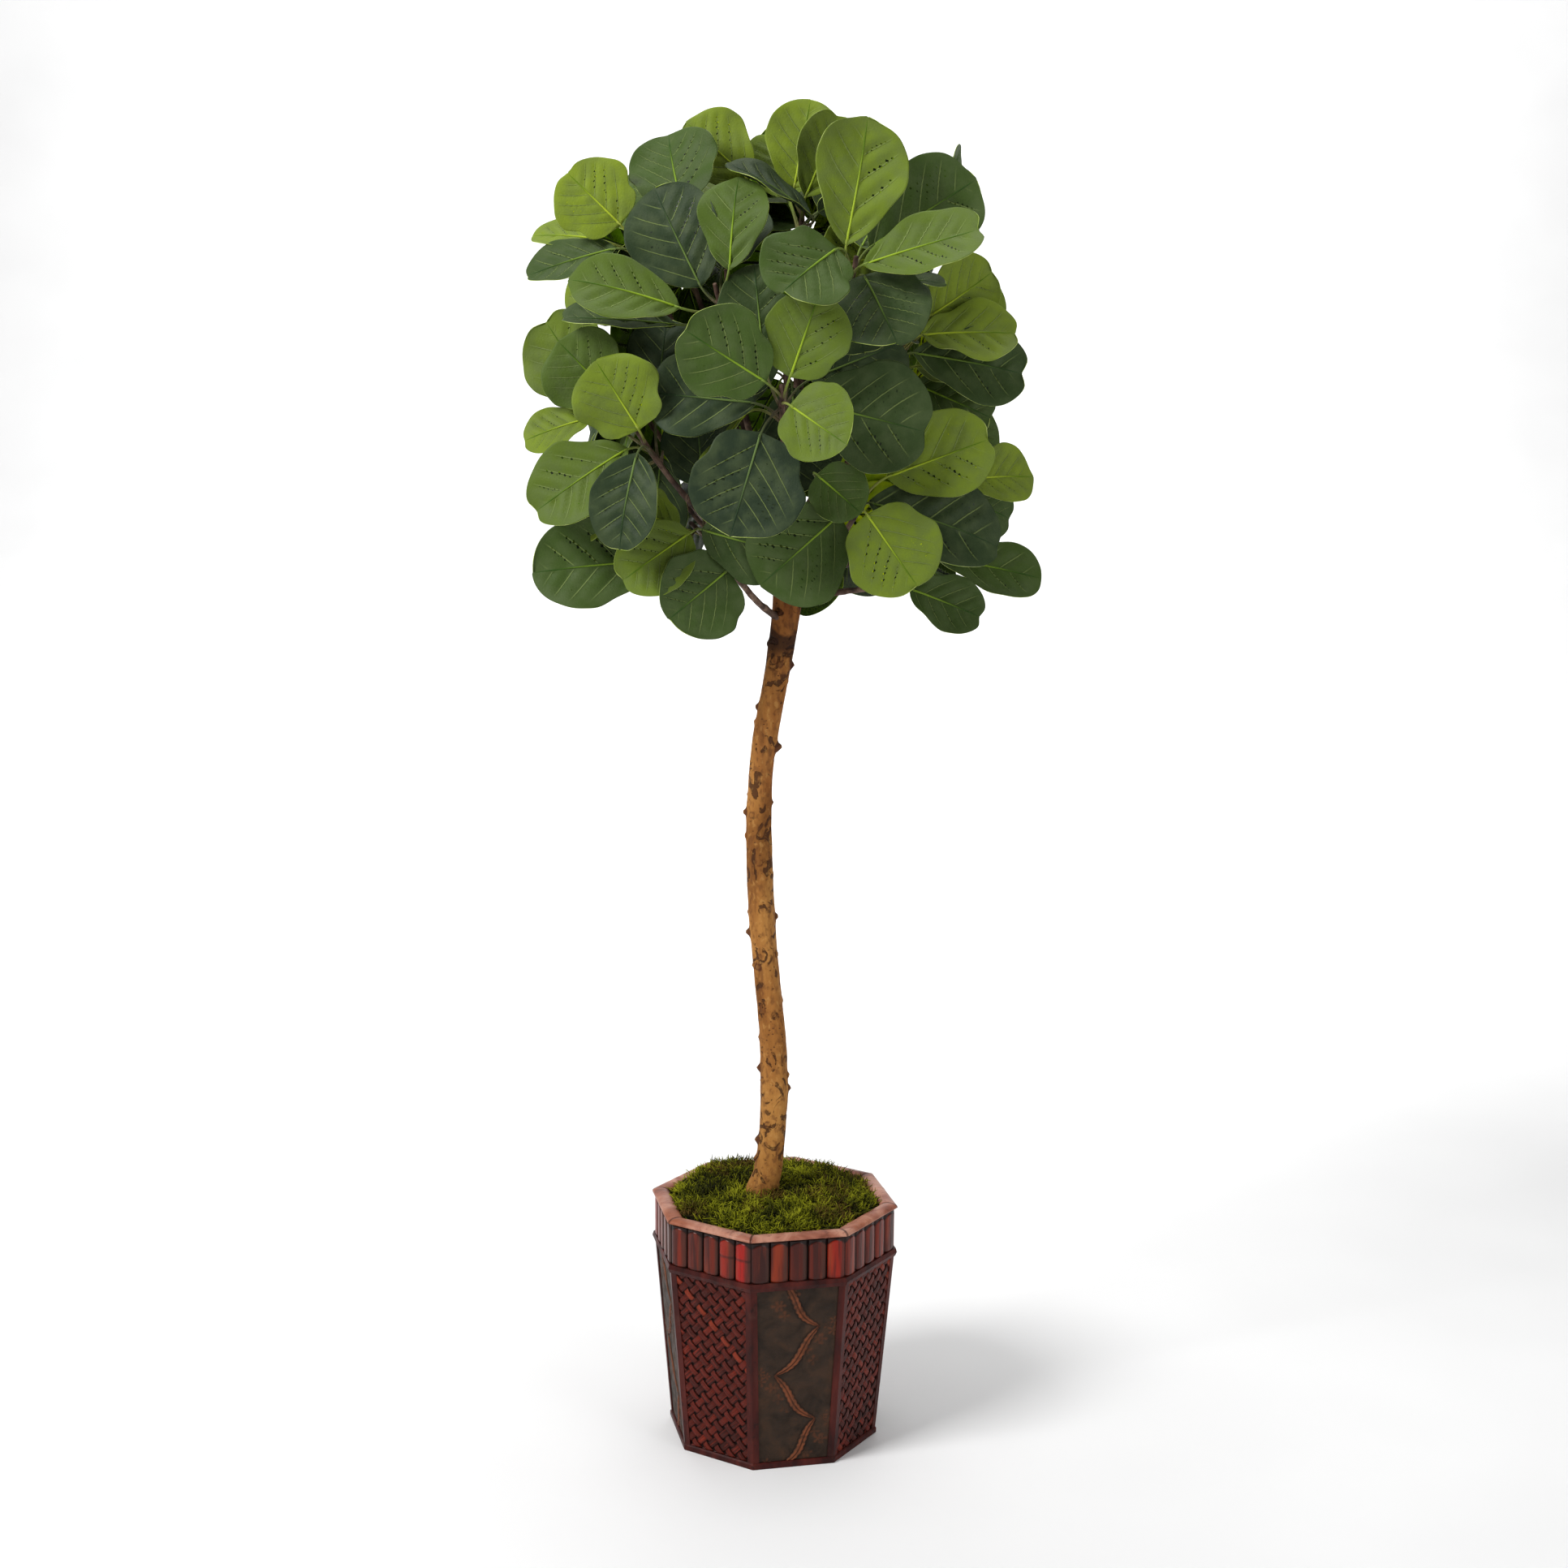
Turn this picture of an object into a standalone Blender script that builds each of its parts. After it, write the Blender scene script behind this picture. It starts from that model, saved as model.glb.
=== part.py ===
"""Fiddle leaf fig standing in an eight-sided bamboo planter. Metres, +Z up.

The origin is the centre of the planter's underside. Planter panels face the axes, and the tree is
turned in the pot.
"""

import bmesh
import bpy
from itertools import product
from math import cos, pi, radians, sin, tan
from mathutils import Matrix, Vector
from mathutils.bvhtree import BVHTree

CM = 0.01
GAP = 0.0003  # air left between two pieces that touch
SEAT_GAP = 0.0005  # air round the trunk where it stands in the soil

# Planter: apothems are distances from the axis to a flat side.
SIDES = 8
SHARP_ANGLE = radians(40)
HALF_SIDE = pi / SIDES
PLANTER_HEIGHT = 0.3048
RIM_OUT, RIM_IN, RIM_BOTTOM = 0.1440, 0.1240, 0.2968
SLAT_BACK, SLAT_VALLEY, SLAT_CREST = 0.1362, 0.1405, 0.1430
SLATS_A_SIDE, SLAT_BOTTOM = 5, 0.2466
BEAD_BOTTOM, BEAD_OUT, BEAD_IN = 0.2362, 0.1440, 0.1393
WALL_THICK, WALL_BOTTOM_OUT, WALL_TOP_OUT = 0.006, 0.1190, 0.1386
WALL_BOTTOM, WALL_TOP = 0.0083, 0.2463
POST_WIDTH, POST_THICK = 0.0068, 0.0025
PLINTH_OUT, PLINTH_IN, PLINTH_HEIGHT = 0.1229, 0.1184, 0.0080
FLOOR_OUT, FLOOR_THICK = 0.1181, 0.0070
SOIL_TOP, SOIL_OUT_LOW, SOIL_OUT_HIGH = 0.2830, 0.1118, 0.1315
MOSS_OUT, MOSS_EDGE_TOP, MOSS_MOUND = 0.1234, 0.2965, 0.0130

# Tree, in its own frame, which is turned about the trunk's foot so that its best side looks past a corner.
TREE_TURN = radians(-12.5)
TRUNK_SIDES, TRUNK_STEP = 10, 0.036
TRUNK_PATH_CM = (  # height, across, depth, diameter
    (13, -2.3, -0.8, 3.0), (25, -2.2, -0.9, 3.3), (29, -2.1, -0.9, 4.3), (31, -1.8, -0.9, 4.1),
    (34, -0.8, -0.8, 3.5), (39, -0.2, -0.6, 3.2), (45, 0.0, -0.4, 3.4), (51, -0.2, -0.2, 3.3),
    (58, -0.9, 0.1, 3.1), (65, -1.6, 0.4, 3.2), (72, -2.0, 0.6, 3.2), (79, -2.2, 0.6, 3.0),
    (86, -1.8, 0.5, 2.9), (93, -0.7, 0.3, 3.0), (100, 0.5, 0.1, 3.2), (106, 1.2, 0.0, 3.6),
    (113, 1.6, 0.0, 3.2), (121, 1.8, 0.0, 2.6),
)
KNOTS = (  # height in cm, side in degrees (0 is right, 90 is back), length in cm
    (38, 187, 0.7), (44.5, 0, 0.6), (47, 176, 0.7), (60, 230, 0.5),
    (64, 172, 0.8), (66, 10, 0.6), (71.5, 60, 0.6),
    (79, 180, 0.6), (84, 110, 0.7), (87, 5, 1.1), (92, 176, 0.6), (97, 8, 0.7),
)

# Leaves: blade half-widths along the midrib, as shares of the length and of the half-width.
BLADE = ((0.0, 0.07), (0.14, 0.52), (0.38, 0.80), (0.64, 1.0), (0.87, 0.82), (1.0, 0.26))
BLADE_CUP, BLADE_BEND = 0.16, 0.10  # edges lifted, and tip bent back, as shares of half-width and length
BLADE_THICK, STALK_THICK, STALK_INTO_BLADE = 0.0022, 0.0034, 0.005
CLEAR_THICK = 0.0060  # the thickness that neighbouring blades are kept apart for
CROWN_CENTRE_CM = (0, 0, 133)

# One spray is a stem with its whorl of leaves. Each row gives its name, the side that it faces in degrees
# (0 is the front), the height where its stem leaves the trunk, the stem's lift, its tip and its leaves.
# A leaf is: foot of the blade (across, depth, height), bearing in the facing plane (0 right, 90 up),
# lean towards the facing side, roll, length, width and tone (0 deep green, 1 yellow green).
SPRAYS = (
    ("upper_right", 0, 114.5, 6, (8.3, -15, 143.5), (
        (7.2, -16.5, 145.5, 79, -5, 0, 14.3, 10.5, 0.78),
        (9.2, -17.5, 143.4, 19, 12, -25, 13.8, 9.5, 0.62),
        (10.0, -12.5, 145.5, 33, -8, 0, 14.5, 11.5, 0.38),
        (6.2, -19.0, 145.0, 216, 46, 0, 10.5, 11.0, 0.42),
        (9.3, -16.0, 142.3, -63, 38, 0, 10.2, 12.0, 0.18),
        (9.5, -14.0, 142.2, 0, 10, -60, 9.0, 7.0, 0.30),
        (8.0, -13.5, 141.5, -80, 15, 0, 8.0, 8.0, 0.12),
        (9.0, -11.5, 145.5, 60, -66, 0, 12.5, 10.5, 0.45),
    )),
    ("top_middle", 0, 120.4, 4, (2.5, -5.5, 150.0), (
        (1.5, -4.5, 152.45, 80, -5, 0, 10.2, 8.6, 0.92),
        (2.8, -7.0, 151.3, 67, 0, 25, 10.2, 7.5, 0.80),
        (3.4, -9.0, 149.2, 142, 8, 50, 10.8, 8.0, 0.05),
        (4.2, -7.0, 149.5, 30, 5, 60, 5.5, 5.0, 0.10),
        (1.0, -1.0, 151.5, 108, -25, 0, 9.5, 8.5, 0.75),
        (2.0, -2.5, 148.0, 262, 0, 0, 12.0, 10.0, 0.10),
        (1.0, -2.5, 151.0, 120, -68, 0, 12.0, 10.5, 0.60),
        (4.5, -3.0, 150.0, 38, -62, 0, 12.0, 10.0, 0.35),
    )),
    ("front_middle", 0, 110.0, 5, (0.3, -20, 129.6), (
        (-1.4, -21.5, 130.6, 148, 8, 0, 11.0, 10.8, 0.42),
        (1.2, -21.0, 131.2, 71, 5, 0, 9.6, 9.8, 0.68),
        (1.3, -21.5, 128.2, -34, 30, 0, 8.3, 9.3, 0.72),
        (-1.9, -20.5, 125.2, -107, 12, 0, 11.8, 13.2, 0.02),
        (-1.8, -16.5, 133.5, 96, -8, 0, 10.3, 10.0, 0.20),
        (3.2, -18.0, 128.5, -13, 3, 0, 14.0, 12.5, 0.22),
        (3.5, -14.0, 131.0, 22, -12, 0, 12.0, 11.0, 0.10),
        (-2.5, -17.5, 128.3, 174, 0, 15, 12.0, 9.5, 0.05),
        (-3.6, -18.5, 127.3, 230, 5, 75, 9.3, 5.0, 0.80),
        (1.5, -9.0, 130.0, 275, 0, 0, 12.0, 10.5, 0.08),
    )),
    ("upper_left", 0, 116.0, 6, (-7.0, -14, 140.5), (
        (-5.6, -17.0, 142.8, 87, -2, 0, 11.8, 8.8, 0.55),
        (-8.8, -13.0, 141.0, 117, -4, 0, 12.6, 11.0, 0.08),
        (-11.0, -17.0, 138.6, 161, 10, 25, 12.3, 8.5, 0.58),
        (-11.5, -15.0, 136.8, 173, 5, 45, 12.7, 8.0, 0.25),
        (-6.3, -17.0, 140.8, 203, 12, 72, 9.0, 5.0, 0.85),
        (-6.0, -9.5, 139.5, 282, -5, 0, 11.0, 9.5, 0.08),
        (-6.5, -11.0, 143.0, 75, -50, 0, 11.5, 9.5, 0.15),
    )),
    ("left_front", 0, 107.5, 4, (-15.3, -15, 124.3), (
        (-15.5, -17.0, 125.3, 122, 15, 0, 8.8, 10.5, 0.84),
        (-18.0, -15.5, 128.3, 135, 5, 0, 9.3, 10.0, 0.55),
        (-20.5, -9.0, 128.0, 125, -8, 0, 12.0, 10.5, 0.72),
        (-21.5, -8.0, 126.4, 194, 0, 35, 8.4, 6.5, 0.85),
        (-16.8, -16.0, 123.2, 211, 8, 20, 13.0, 9.5, 0.62),
        (-15.6, -17.5, 122.8, -104, 10, 0, 11.0, 8.2, 0.06),
        (-18.0, -12.0, 119.4, 213, 0, 10, 9.2, 8.5, 0.90),
        (-14.0, -10.0, 127.0, 85, -10, 0, 11.0, 9.0, 0.08),
        (-13.5, -7.0, 122.0, 262, -5, 0, 11.5, 9.5, 0.10),
    )),
    ("lower_left", 0, 103.2, 1, (-9.5, -12, 114.3), (
        (-14.2, -13.0, 110.5, 184, 5, 10, 13.6, 10.5, 0.40),
        (-9.9, -14.5, 113.8, 214, 15, 0, 9.8, 8.5, 0.72),
        (-5.6, -14.0, 109.6, 219, 25, 0, 9.3, 11.0, 0.33),
        (-8.6, -14.5, 114.2, -16, 10, 0, 10.3, 9.0, 0.25),
        (-11.3, -11.0, 114.2, 160, 5, 0, 6.5, 6.5, 0.88),
        (-8.7, -11.0, 119.0, 95, -15, 0, 9.0, 9.0, 0.05),
        (-7.0, -6.5, 114.0, 60, -5, 0, 10.0, 9.0, 0.30),
    )),
    ("lower_right", 0, 106.0, 3, (9.3, -15, 117.0), (
        (9.9, -17.0, 116.2, -54, 12, 0, 10.0, 11.2, 0.82),
        (10.2, -14.5, 117.4, -14, 0, -20, 16.0, 10.5, 0.12),
        (12.2, -14.0, 120.2, 21, 5, -10, 12.7, 10.0, 0.84),
        (6.9, -15.5, 116.0, 222, 8, 0, 11.8, 12.0, 0.38),
        (4.3, -14.0, 120.5, -40, 10, 0, 6.5, 7.0, 0.42),
    )),
    ("lowest_right", 0, 105.0, 2, (14.3, -7, 107.9), (
        (15.3, -7.5, 107.1, -20, 3, -20, 9.3, 7.0, 0.35),
        (18.5, -4.5, 110.5, -8, 0, -35, 12.8, 7.5, 0.45),
    )),
    ("right_low", 15, 108.5, 3, (18.5, -7, 118.8), (
        (21.3, -8.5, 119.8, 4, 0, -15, 8.8, 7.2, 0.93),
        (20.5, -6.0, 117.8, -20, -5, 0, 8.5, 8.0, 0.30),
        (20.0, -5.0, 121.0, 52, -10, 0, 8.5, 8.0, 0.50),
    )),
    ("right_middle", 0, 112.5, 5, (13.8, -11, 134.5), (
        (16.0, -12.0, 136.0, 5, 3, -30, 11.0, 8.5, 0.90),
        (16.8, -9.5, 138.0, 33, -3, 10, 9.2, 8.5, 0.93),
        (18.5, -6.0, 137.5, 26, -8, 0, 8.0, 6.0, 0.85),
        (15.0, -13.0, 134.0, -8, 4, 0, 13.5, 9.0, 0.22),
        (14.6, -16.5, 136.0, -42, 10, 72, 9.2, 5.5, 0.30),
        (15.5, -9.0, 132.5, 5, -5, -20, 10.0, 8.0, 0.80),
        (15.5, -8.0, 130.5, -22, -5, 0, 10.0, 8.0, 0.40),
    )),
    ("left_high", 0, 117.5, 6, (-16.0, -4, 145.8), (
        (-18.1, -7.0, 148.0, 136, 0, 0, 8.8, 10.2, 0.95),
        (-20.9, -3.0, 146.6, 171, -5, 40, 7.8, 6.0, 0.90),
        (-18.6, -6.5, 145.4, 193, 3, 20, 10.8, 7.5, 0.30),
        (-18.0, -2.0, 143.0, 212, -5, 0, 8.5, 8.0, 0.90),
        (-15.0, -1.5, 146.8, 70, -62, 0, 11.5, 10.0, 0.50),
    )),
    ("top_left", 0, 119.0, 5, (-8.0, -3, 150.2), (
        (-11.3, -7.0, 150.6, 104, -25, 0, 9.8, 11.0, 0.40),
        (-7.0, -9.0, 150.3, 112, -12, 0, 7.5, 8.0, 0.60),
        (-3.7, -3.0, 153.4, 137, 0, -20, 9.8, 9.0, 0.93),
        (-10.5, -1.0, 150.5, 140, -25, 0, 9.5, 9.0, 0.50),
        (-7.5, -1.0, 151.0, 50, -64, 0, 11.5, 10.0, 0.70),
        (-6.0, -1.0, 148.5, 20, -35, 0, 10.5, 9.5, 0.25),
    )),
)
# The far side's sprays repeat one whorl: facing side, height of the stem's foot, tip's distance from the
# trunk, tip's height, and how far the whorl is turned.
BACK_SPRAYS = (
    ("right_back_low", 102, 107.5, 17, 113.5, 0), ("right_back_high", 84, 115.5, 14, 144.5, 40),
    ("back_right_middle", 124, 111.5, 18, 129.0, 15), ("back_top", 165, 119.8, 8, 148.3, 30),
    ("back_low", 165, 104.5, 17, 114.5, 46), ("back_middle", 178, 113.5, 19, 132.0, 10),
    ("back_left_low", 225, 106.7, 18, 117.5, 35), ("back_left_high", 232, 117.0, 14, 143.5, 5),
    ("left_back_middle", 272, 110.7, 18, 130.0, 25),
)
WHORL = (  # bearing, lean, length, width, tone
    (85, 6, 12.6, 10.5, 0.75), (32, 22, 13.0, 10.0, 0.45), (-18, 8, 12.5, 10.2, 0.20),
    (-70, 26, 11.0, 10.5, 0.55), (-124, 10, 12.0, 9.8, 0.35), (182, 24, 12.0, 10.0, 0.12),
    (135, 2, 12.0, 9.6, 0.88),
)
WHORL_STALK = 1.6


# ---------------------------------------------------------------- building blocks

def clear_scene():
    for obj in list(bpy.data.objects):
        bpy.data.objects.remove(obj)


def finish(name, colour, roughness, metallic=0.0):
    """A plain Principled material."""
    material = bpy.data.materials.new(name)
    material.use_nodes = True
    shader = material.node_tree.nodes["Principled BSDF"]
    shader.inputs["Base Color"].default_value = (*colour, 1.0)
    shader.inputs["Roughness"].default_value = roughness
    shader.inputs["Metallic"].default_value = metallic
    return material


def add_object(name, points, faces, material, parent=None):
    """One closed mesh object, with its faces turned outwards."""
    mesh = bpy.data.meshes.new(name)
    mesh.from_pydata([tuple(p) for p in points], [], faces)
    shell = bmesh.new()
    shell.from_mesh(mesh)
    bmesh.ops.recalc_face_normals(shell, faces=shell.faces)
    shell.to_mesh(mesh)
    shell.free()
    mesh.materials.append(material)
    mesh.shade_smooth()
    mesh.set_sharp_from_angle(angle=SHARP_ANGLE)
    obj = bpy.data.objects.new(name, mesh)
    bpy.context.scene.collection.objects.link(obj)
    obj.parent = parent
    return obj


def loft(rings):
    """Points and faces of a closed body through rings with the same number of points."""
    count = len(rings[0])
    points = [p for ring in rings for p in ring]
    faces = [tuple(range(count - 1, -1, -1)), tuple(range(len(points) - count, len(points)))]
    for row in range(len(rings) - 1):
        low = row * count
        for i in range(count):
            j = (i + 1) % count
            faces.append((low + i, low + j, low + count + j, low + count + i))
    return points, faces


def octagon(apothem, z):
    radius = apothem / cos(HALF_SIDE)
    return [
        Vector((radius * cos(HALF_SIDE * (2 * k + 1)), radius * sin(HALF_SIDE * (2 * k + 1)), z))
        for k in range(SIDES)
    ]


def side_matrix(side):
    """Turns a piece made for the +X side to another side."""
    return Matrix.Rotation(2 * HALF_SIDE * side, 4, "Z")


def mitred_bar(profile):
    """A bar along one side with mitred ends; its profile is (apothem, height) pairs."""
    ends = []
    for sign in (-1, 1):
        half = [apothem * tan(HALF_SIDE) - GAP / 2 for apothem, _ in profile]
        ends.append([Vector((a, sign * h, z)) for (a, z), h in zip(profile, half)])
    return loft(ends)


def turned(points, matrix):
    return [matrix @ p for p in points]


# ---------------------------------------------------------------- planter

def wall_out(z):
    """Apothem of the wall boards' outer face at a height."""
    share = (z - WALL_BOTTOM) / (WALL_TOP - WALL_BOTTOM)
    return WALL_BOTTOM_OUT + share * (WALL_TOP_OUT - WALL_BOTTOM_OUT)


def slat_outline():
    """Plan of one side of the slat band: a mitred board whose front is a row of half-round slats."""
    half_back = SLAT_BACK * tan(HALF_SIDE) - GAP / 2
    half_front = SLAT_VALLEY * tan(HALF_SIDE) - GAP / 2
    outline = [(SLAT_BACK, half_back), (SLAT_BACK, -half_back)]
    pitch, steps = 2 * half_front / SLATS_A_SIDE, 4
    for slat in range(SLATS_A_SIDE):
        start = -half_front + slat * pitch
        for step in range(steps + (slat == SLATS_A_SIDE - 1)):
            rise = (SLAT_CREST - SLAT_VALLEY) * sin(pi * step / steps)
            outline.append((SLAT_VALLEY + rise, start + pitch * step / steps))
    return outline


def half_round(out, inner, bottom, top, steps=5):
    """Profile of a rail with a flat underside and a rounded crown, from its outer lower edge."""
    shoulder = bottom + 0.35 * (top - bottom)
    middle, half = (out + inner) / 2, (out - inner) / 2
    crown = [
        (middle + half * cos(pi * k / steps), shoulder + (top - shoulder) * sin(pi * k / steps))
        for k in range(steps + 1)
    ]
    return [(out, bottom), *crown, (inner, bottom)]


def octagon_band(profile):
    """One closed ring that follows all the sides; its profile is (apothem, height) pairs."""
    count = len(profile)
    points, faces = [], []
    for k in range(SIDES):
        angle = HALF_SIDE * (2 * k + 1)
        for apothem, z in profile:
            radius = apothem / cos(HALF_SIDE)
            points.append(Vector((radius * cos(angle), radius * sin(angle), z)))
    for k in range(SIDES):
        here, there = k * count, ((k + 1) % SIDES) * count
        for i in range(count):
            j = (i + 1) % count
            faces.append((here + i, there + i, there + j, here + j))
    return points, faces


def corner_post():
    """A bent strip that covers the joint between two wall boards, at the corner between sides 0 and 1."""
    rings = []
    normals = [Vector((cos(a), sin(a), 0)) for a in (0, 2 * HALF_SIDE)]
    corner_way = Vector((cos(HALF_SIDE), sin(HALF_SIDE), 0))
    for z in (WALL_BOTTOM, BEAD_BOTTOM - GAP):
        inner = wall_out(z) + GAP
        outer = inner + POST_THICK
        inner_corner, outer_corner = (corner_way * (a / cos(HALF_SIDE)) for a in (inner, outer))
        along = [Vector((-n.y, n.x, 0)) for n in normals]
        wing_0, wing_1 = -along[0] * POST_WIDTH, along[1] * POST_WIDTH
        step_0, step_1 = normals[0] * POST_THICK, normals[1] * POST_THICK
        ring = [
            inner_corner + wing_0, inner_corner + wing_0 + step_0, outer_corner,
            inner_corner + wing_1 + step_1, inner_corner + wing_1, inner_corner,
        ]
        rings.append([p + Vector((0, 0, z)) for p in ring])
    return loft(rings)


def build_planter(woods):
    """The wooden planter. Woven and carved boards alternate round it."""
    lacquer, woven, carved, rim_wood, slat_wood = woods
    wall = [
        (WALL_BOTTOM_OUT - WALL_THICK, WALL_BOTTOM), (WALL_BOTTOM_OUT, WALL_BOTTOM),
        (WALL_TOP_OUT, WALL_TOP), (WALL_TOP_OUT - WALL_THICK, WALL_TOP),
    ]
    pieces = {
        "wall": mitred_bar(wall),
        "slat_panel": loft([
            [Vector((x, y, z)) for x, y in slat_outline()] for z in (SLAT_BOTTOM, RIM_BOTTOM - GAP)
        ]),
        "rim_rail": mitred_bar(half_round(RIM_OUT, RIM_IN, RIM_BOTTOM, PLANTER_HEIGHT)),
        "corner_post": corner_post(),
    }
    for side in range(SIDES):
        turn = side_matrix(side)
        number = side + 1
        board_name, board_wood = ("carved_wall", carved) if side % 2 == 0 else ("woven_wall", woven)
        for name, key, wood in (
            (f"{board_name}_{number}", "wall", board_wood),
            (f"slat_panel_{number}", "slat_panel", slat_wood),
            (f"rim_rail_{number}", "rim_rail", rim_wood),
            (f"corner_post_{number}", "corner_post", lacquer),
        ):
            points, faces = pieces[key]
            add_object(name, turned(points, turn), faces, wood)
    bead_high = SLAT_BOTTOM - GAP
    middle = (BEAD_BOTTOM + bead_high) / 2
    bead = [
        (BEAD_IN, BEAD_BOTTOM), (BEAD_OUT - 0.0020, BEAD_BOTTOM), (BEAD_OUT, middle),
        (BEAD_OUT - 0.0015, bead_high), (BEAD_IN, bead_high),
    ]
    add_object("bead_moulding", *octagon_band(bead), lacquer)
    plinth = [
        (PLINTH_IN, 0), (PLINTH_OUT - 0.0008, 0), (PLINTH_OUT, 0.0012), (PLINTH_OUT, PLINTH_HEIGHT - 0.0015),
        (PLINTH_OUT - 0.0015, PLINTH_HEIGHT), (PLINTH_IN, PLINTH_HEIGHT),
    ]
    add_object("plinth_moulding", *octagon_band(plinth), lacquer)
    add_object("floor_board", *loft([octagon(FLOOR_OUT, 0), octagon(FLOOR_OUT, FLOOR_THICK)]), lacquer)


# ---------------------------------------------------------------- trunk, soil and moss

def smooth_at(rows, z):
    """Catmull-Rom reading of a table whose first column rises."""
    last = len(rows) - 1
    i = max(k for k in range(last) if rows[k][0] <= z or k == 0)
    t = (z - rows[i][0]) / (rows[i + 1][0] - rows[i][0])
    before, start, end, after = rows[max(i - 1, 0)], rows[i], rows[i + 1], rows[min(i + 2, last)]
    found = []
    for a, b, c, d in zip(before[1:], start[1:], end[1:], after[1:]):
        curve = 2 * b + (c - a) * t + (2 * a - 5 * b + 4 * c - d) * t**2 + (3 * b - a - 3 * c + d) * t**3
        found.append(0.5 * curve)
    return found


def trunk_at(z_cm):
    """Centre and radius of the trunk at a height, in metres."""
    across, depth, diameter = smooth_at(TRUNK_PATH_CM, z_cm)
    return Vector((across, depth, z_cm)) * CM, diameter * CM / 2


def trunk_body(grow=0.0):
    """The trunk, or the slightly larger body that bores its seat in the soil and moss."""
    rings = []
    low, high = TRUNK_PATH_CM[0][0], TRUNK_PATH_CM[-1][0]
    steps = round((high - low) * CM / TRUNK_STEP)
    for step in range(steps + 1):
        centre, radius = trunk_at(low + (high - low) * step / steps)
        ring = []
        for k in range(TRUNK_SIDES):
            angle = 2 * pi * k / TRUNK_SIDES
            reach = radius * (1 + 0.05 * sin(3 * angle + 9 * centre.z)) + grow
            ring.append(centre + Vector((cos(angle) * reach, sin(angle) * reach, 0 if step else -grow)))
        rings.append(ring)
    return loft(rings)


def boolean(obj, operation, other=None, collection=None):
    modifier = obj.modifiers.new(operation.lower(), "BOOLEAN")
    modifier.operation = operation
    modifier.solver = "EXACT"
    if collection:
        modifier.operand_type = "COLLECTION"
        modifier.collection = collection
    else:
        modifier.object = other


def hide(obj):
    obj.hide_render = True
    obj.display_type = "WIRE"


def helpers(name):
    group = bpy.data.collections.new(name)
    bpy.context.scene.collection.children.link(group)
    return group


def move_to(obj, group):
    bpy.context.scene.collection.objects.unlink(obj)
    group.objects.link(obj)
    hide(obj)


def build_trunk(bark, tree):
    trunk = add_object("trunk", *trunk_body(), bark, tree)
    group = helpers("knots")
    for number, (height, side, length) in enumerate(KNOTS):
        centre, radius = trunk_at(height)
        out = Vector((cos(radians(side)), sin(radians(side)), 0.25)).normalized()
        turn = out.to_track_quat("Z", "Y").to_matrix()
        rings = []
        for far, wide in ((radius * 0.5, 0.8), (radius * 1.0, 0.6), (radius + length * CM * 0.6, 0.25)):
            rings.append([
                centre + turn @ Vector((cos(a) * wide * CM, sin(a) * wide * CM, far))
                for a in (2 * pi * k / 5 for k in range(5))
            ])
        move_to(add_object(f"knot_{number}", *loft(rings), bark, tree), group)
    boolean(trunk, "UNION", collection=group)
    return trunk


def moss_height(x, y):
    """Top of the moss: a low mound with soft lumps."""
    share = min(1.0, (x * x + y * y) ** 0.5 / MOSS_OUT)
    lumps = 0.0016 * sin(61 * x + 2) * cos(53 * y + 1) + 0.0010 * sin(117 * y - 31 * x)
    return MOSS_EDGE_TOP + MOSS_MOUND * (1 - share**2) ** 0.7 + lumps * (1 - share**4)


def build_filling(earth, moss_green, tree):
    """Soil up to below the rim and a bed of moss on it, both bored for the trunk."""
    low = octagon(SOIL_OUT_LOW, FLOOR_THICK + GAP)
    widest, top = octagon(SOIL_OUT_HIGH, WALL_TOP), octagon(SOIL_OUT_HIGH, SOIL_TOP)
    points, faces = loft([low, widest, top])
    soil = add_object("soil", points, faces, earth)
    edge = octagon(MOSS_OUT, 0)
    rim = [edge[k // 3].lerp(edge[(k // 3 + 1) % SIDES], (k % 3) / 3) for k in range(3 * SIDES)]
    rings = [[Vector((p.x, p.y, SOIL_TOP + GAP)) for p in rim]]
    for share in (1.0, 0.94, 0.75, 0.5, 0.2):
        top = [(p.x * share, p.y * share) for p in rim]
        drop = 0.004 if share == 1 else 0.0
        rings.append([Vector((x, y, moss_height(x, y) - drop)) for x, y in top])
    moss = add_object("moss", *loft(rings), moss_green)
    bore = add_object("trunk_bore", *trunk_body(SEAT_GAP), earth, tree)
    hide(bore)
    boolean(soil, "DIFFERENCE", bore)
    boolean(moss, "DIFFERENCE", bore)


# ---------------------------------------------------------------- leaves and stems

def spray_frame(facing):
    """Right, up and facing directions of a spray that looks to a side, in degrees from the front."""
    angle = radians(facing)
    front = Vector((sin(angle), -cos(angle), 0))
    return Vector((cos(angle), sin(angle), 0)), Vector((0, 0, 1)), front


def leaf_axes(facing, foot, bearing, lean, roll):
    """Pointing, sideways and upper-face directions of a leaf."""
    right, up, front = spray_frame(facing)
    b, tilt = radians(bearing), radians(lean)
    point = right * (cos(b) * cos(tilt)) + up * (sin(b) * cos(tilt)) + front * sin(tilt)
    outward = (foot - Vector(CROWN_CENTRE_CM) * CM).normalized()
    look = front * 0.75 + outward * 0.35 + up * 0.2
    face = (look - point * look.dot(point)).normalized()
    face = Matrix.Rotation(radians(roll), 3, point) @ face
    return point, face.cross(point), face


def blade_body(foot, axes, length, width, thick):
    """A folded leaf blade as one closed body, with four points in each ring."""
    point, side, face = axes
    rings = []
    for along, wide in BLADE:
        middle = foot + point * (length * along) - face * (length * BLADE_BEND * along**2)
        half = wide * width / 2
        lift = face * (half * BLADE_CUP)
        skin = face * (thick / 2)
        rings.append([middle - side * half + lift, middle + skin, middle + side * half + lift, middle - skin])
    return loft(rings)


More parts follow.
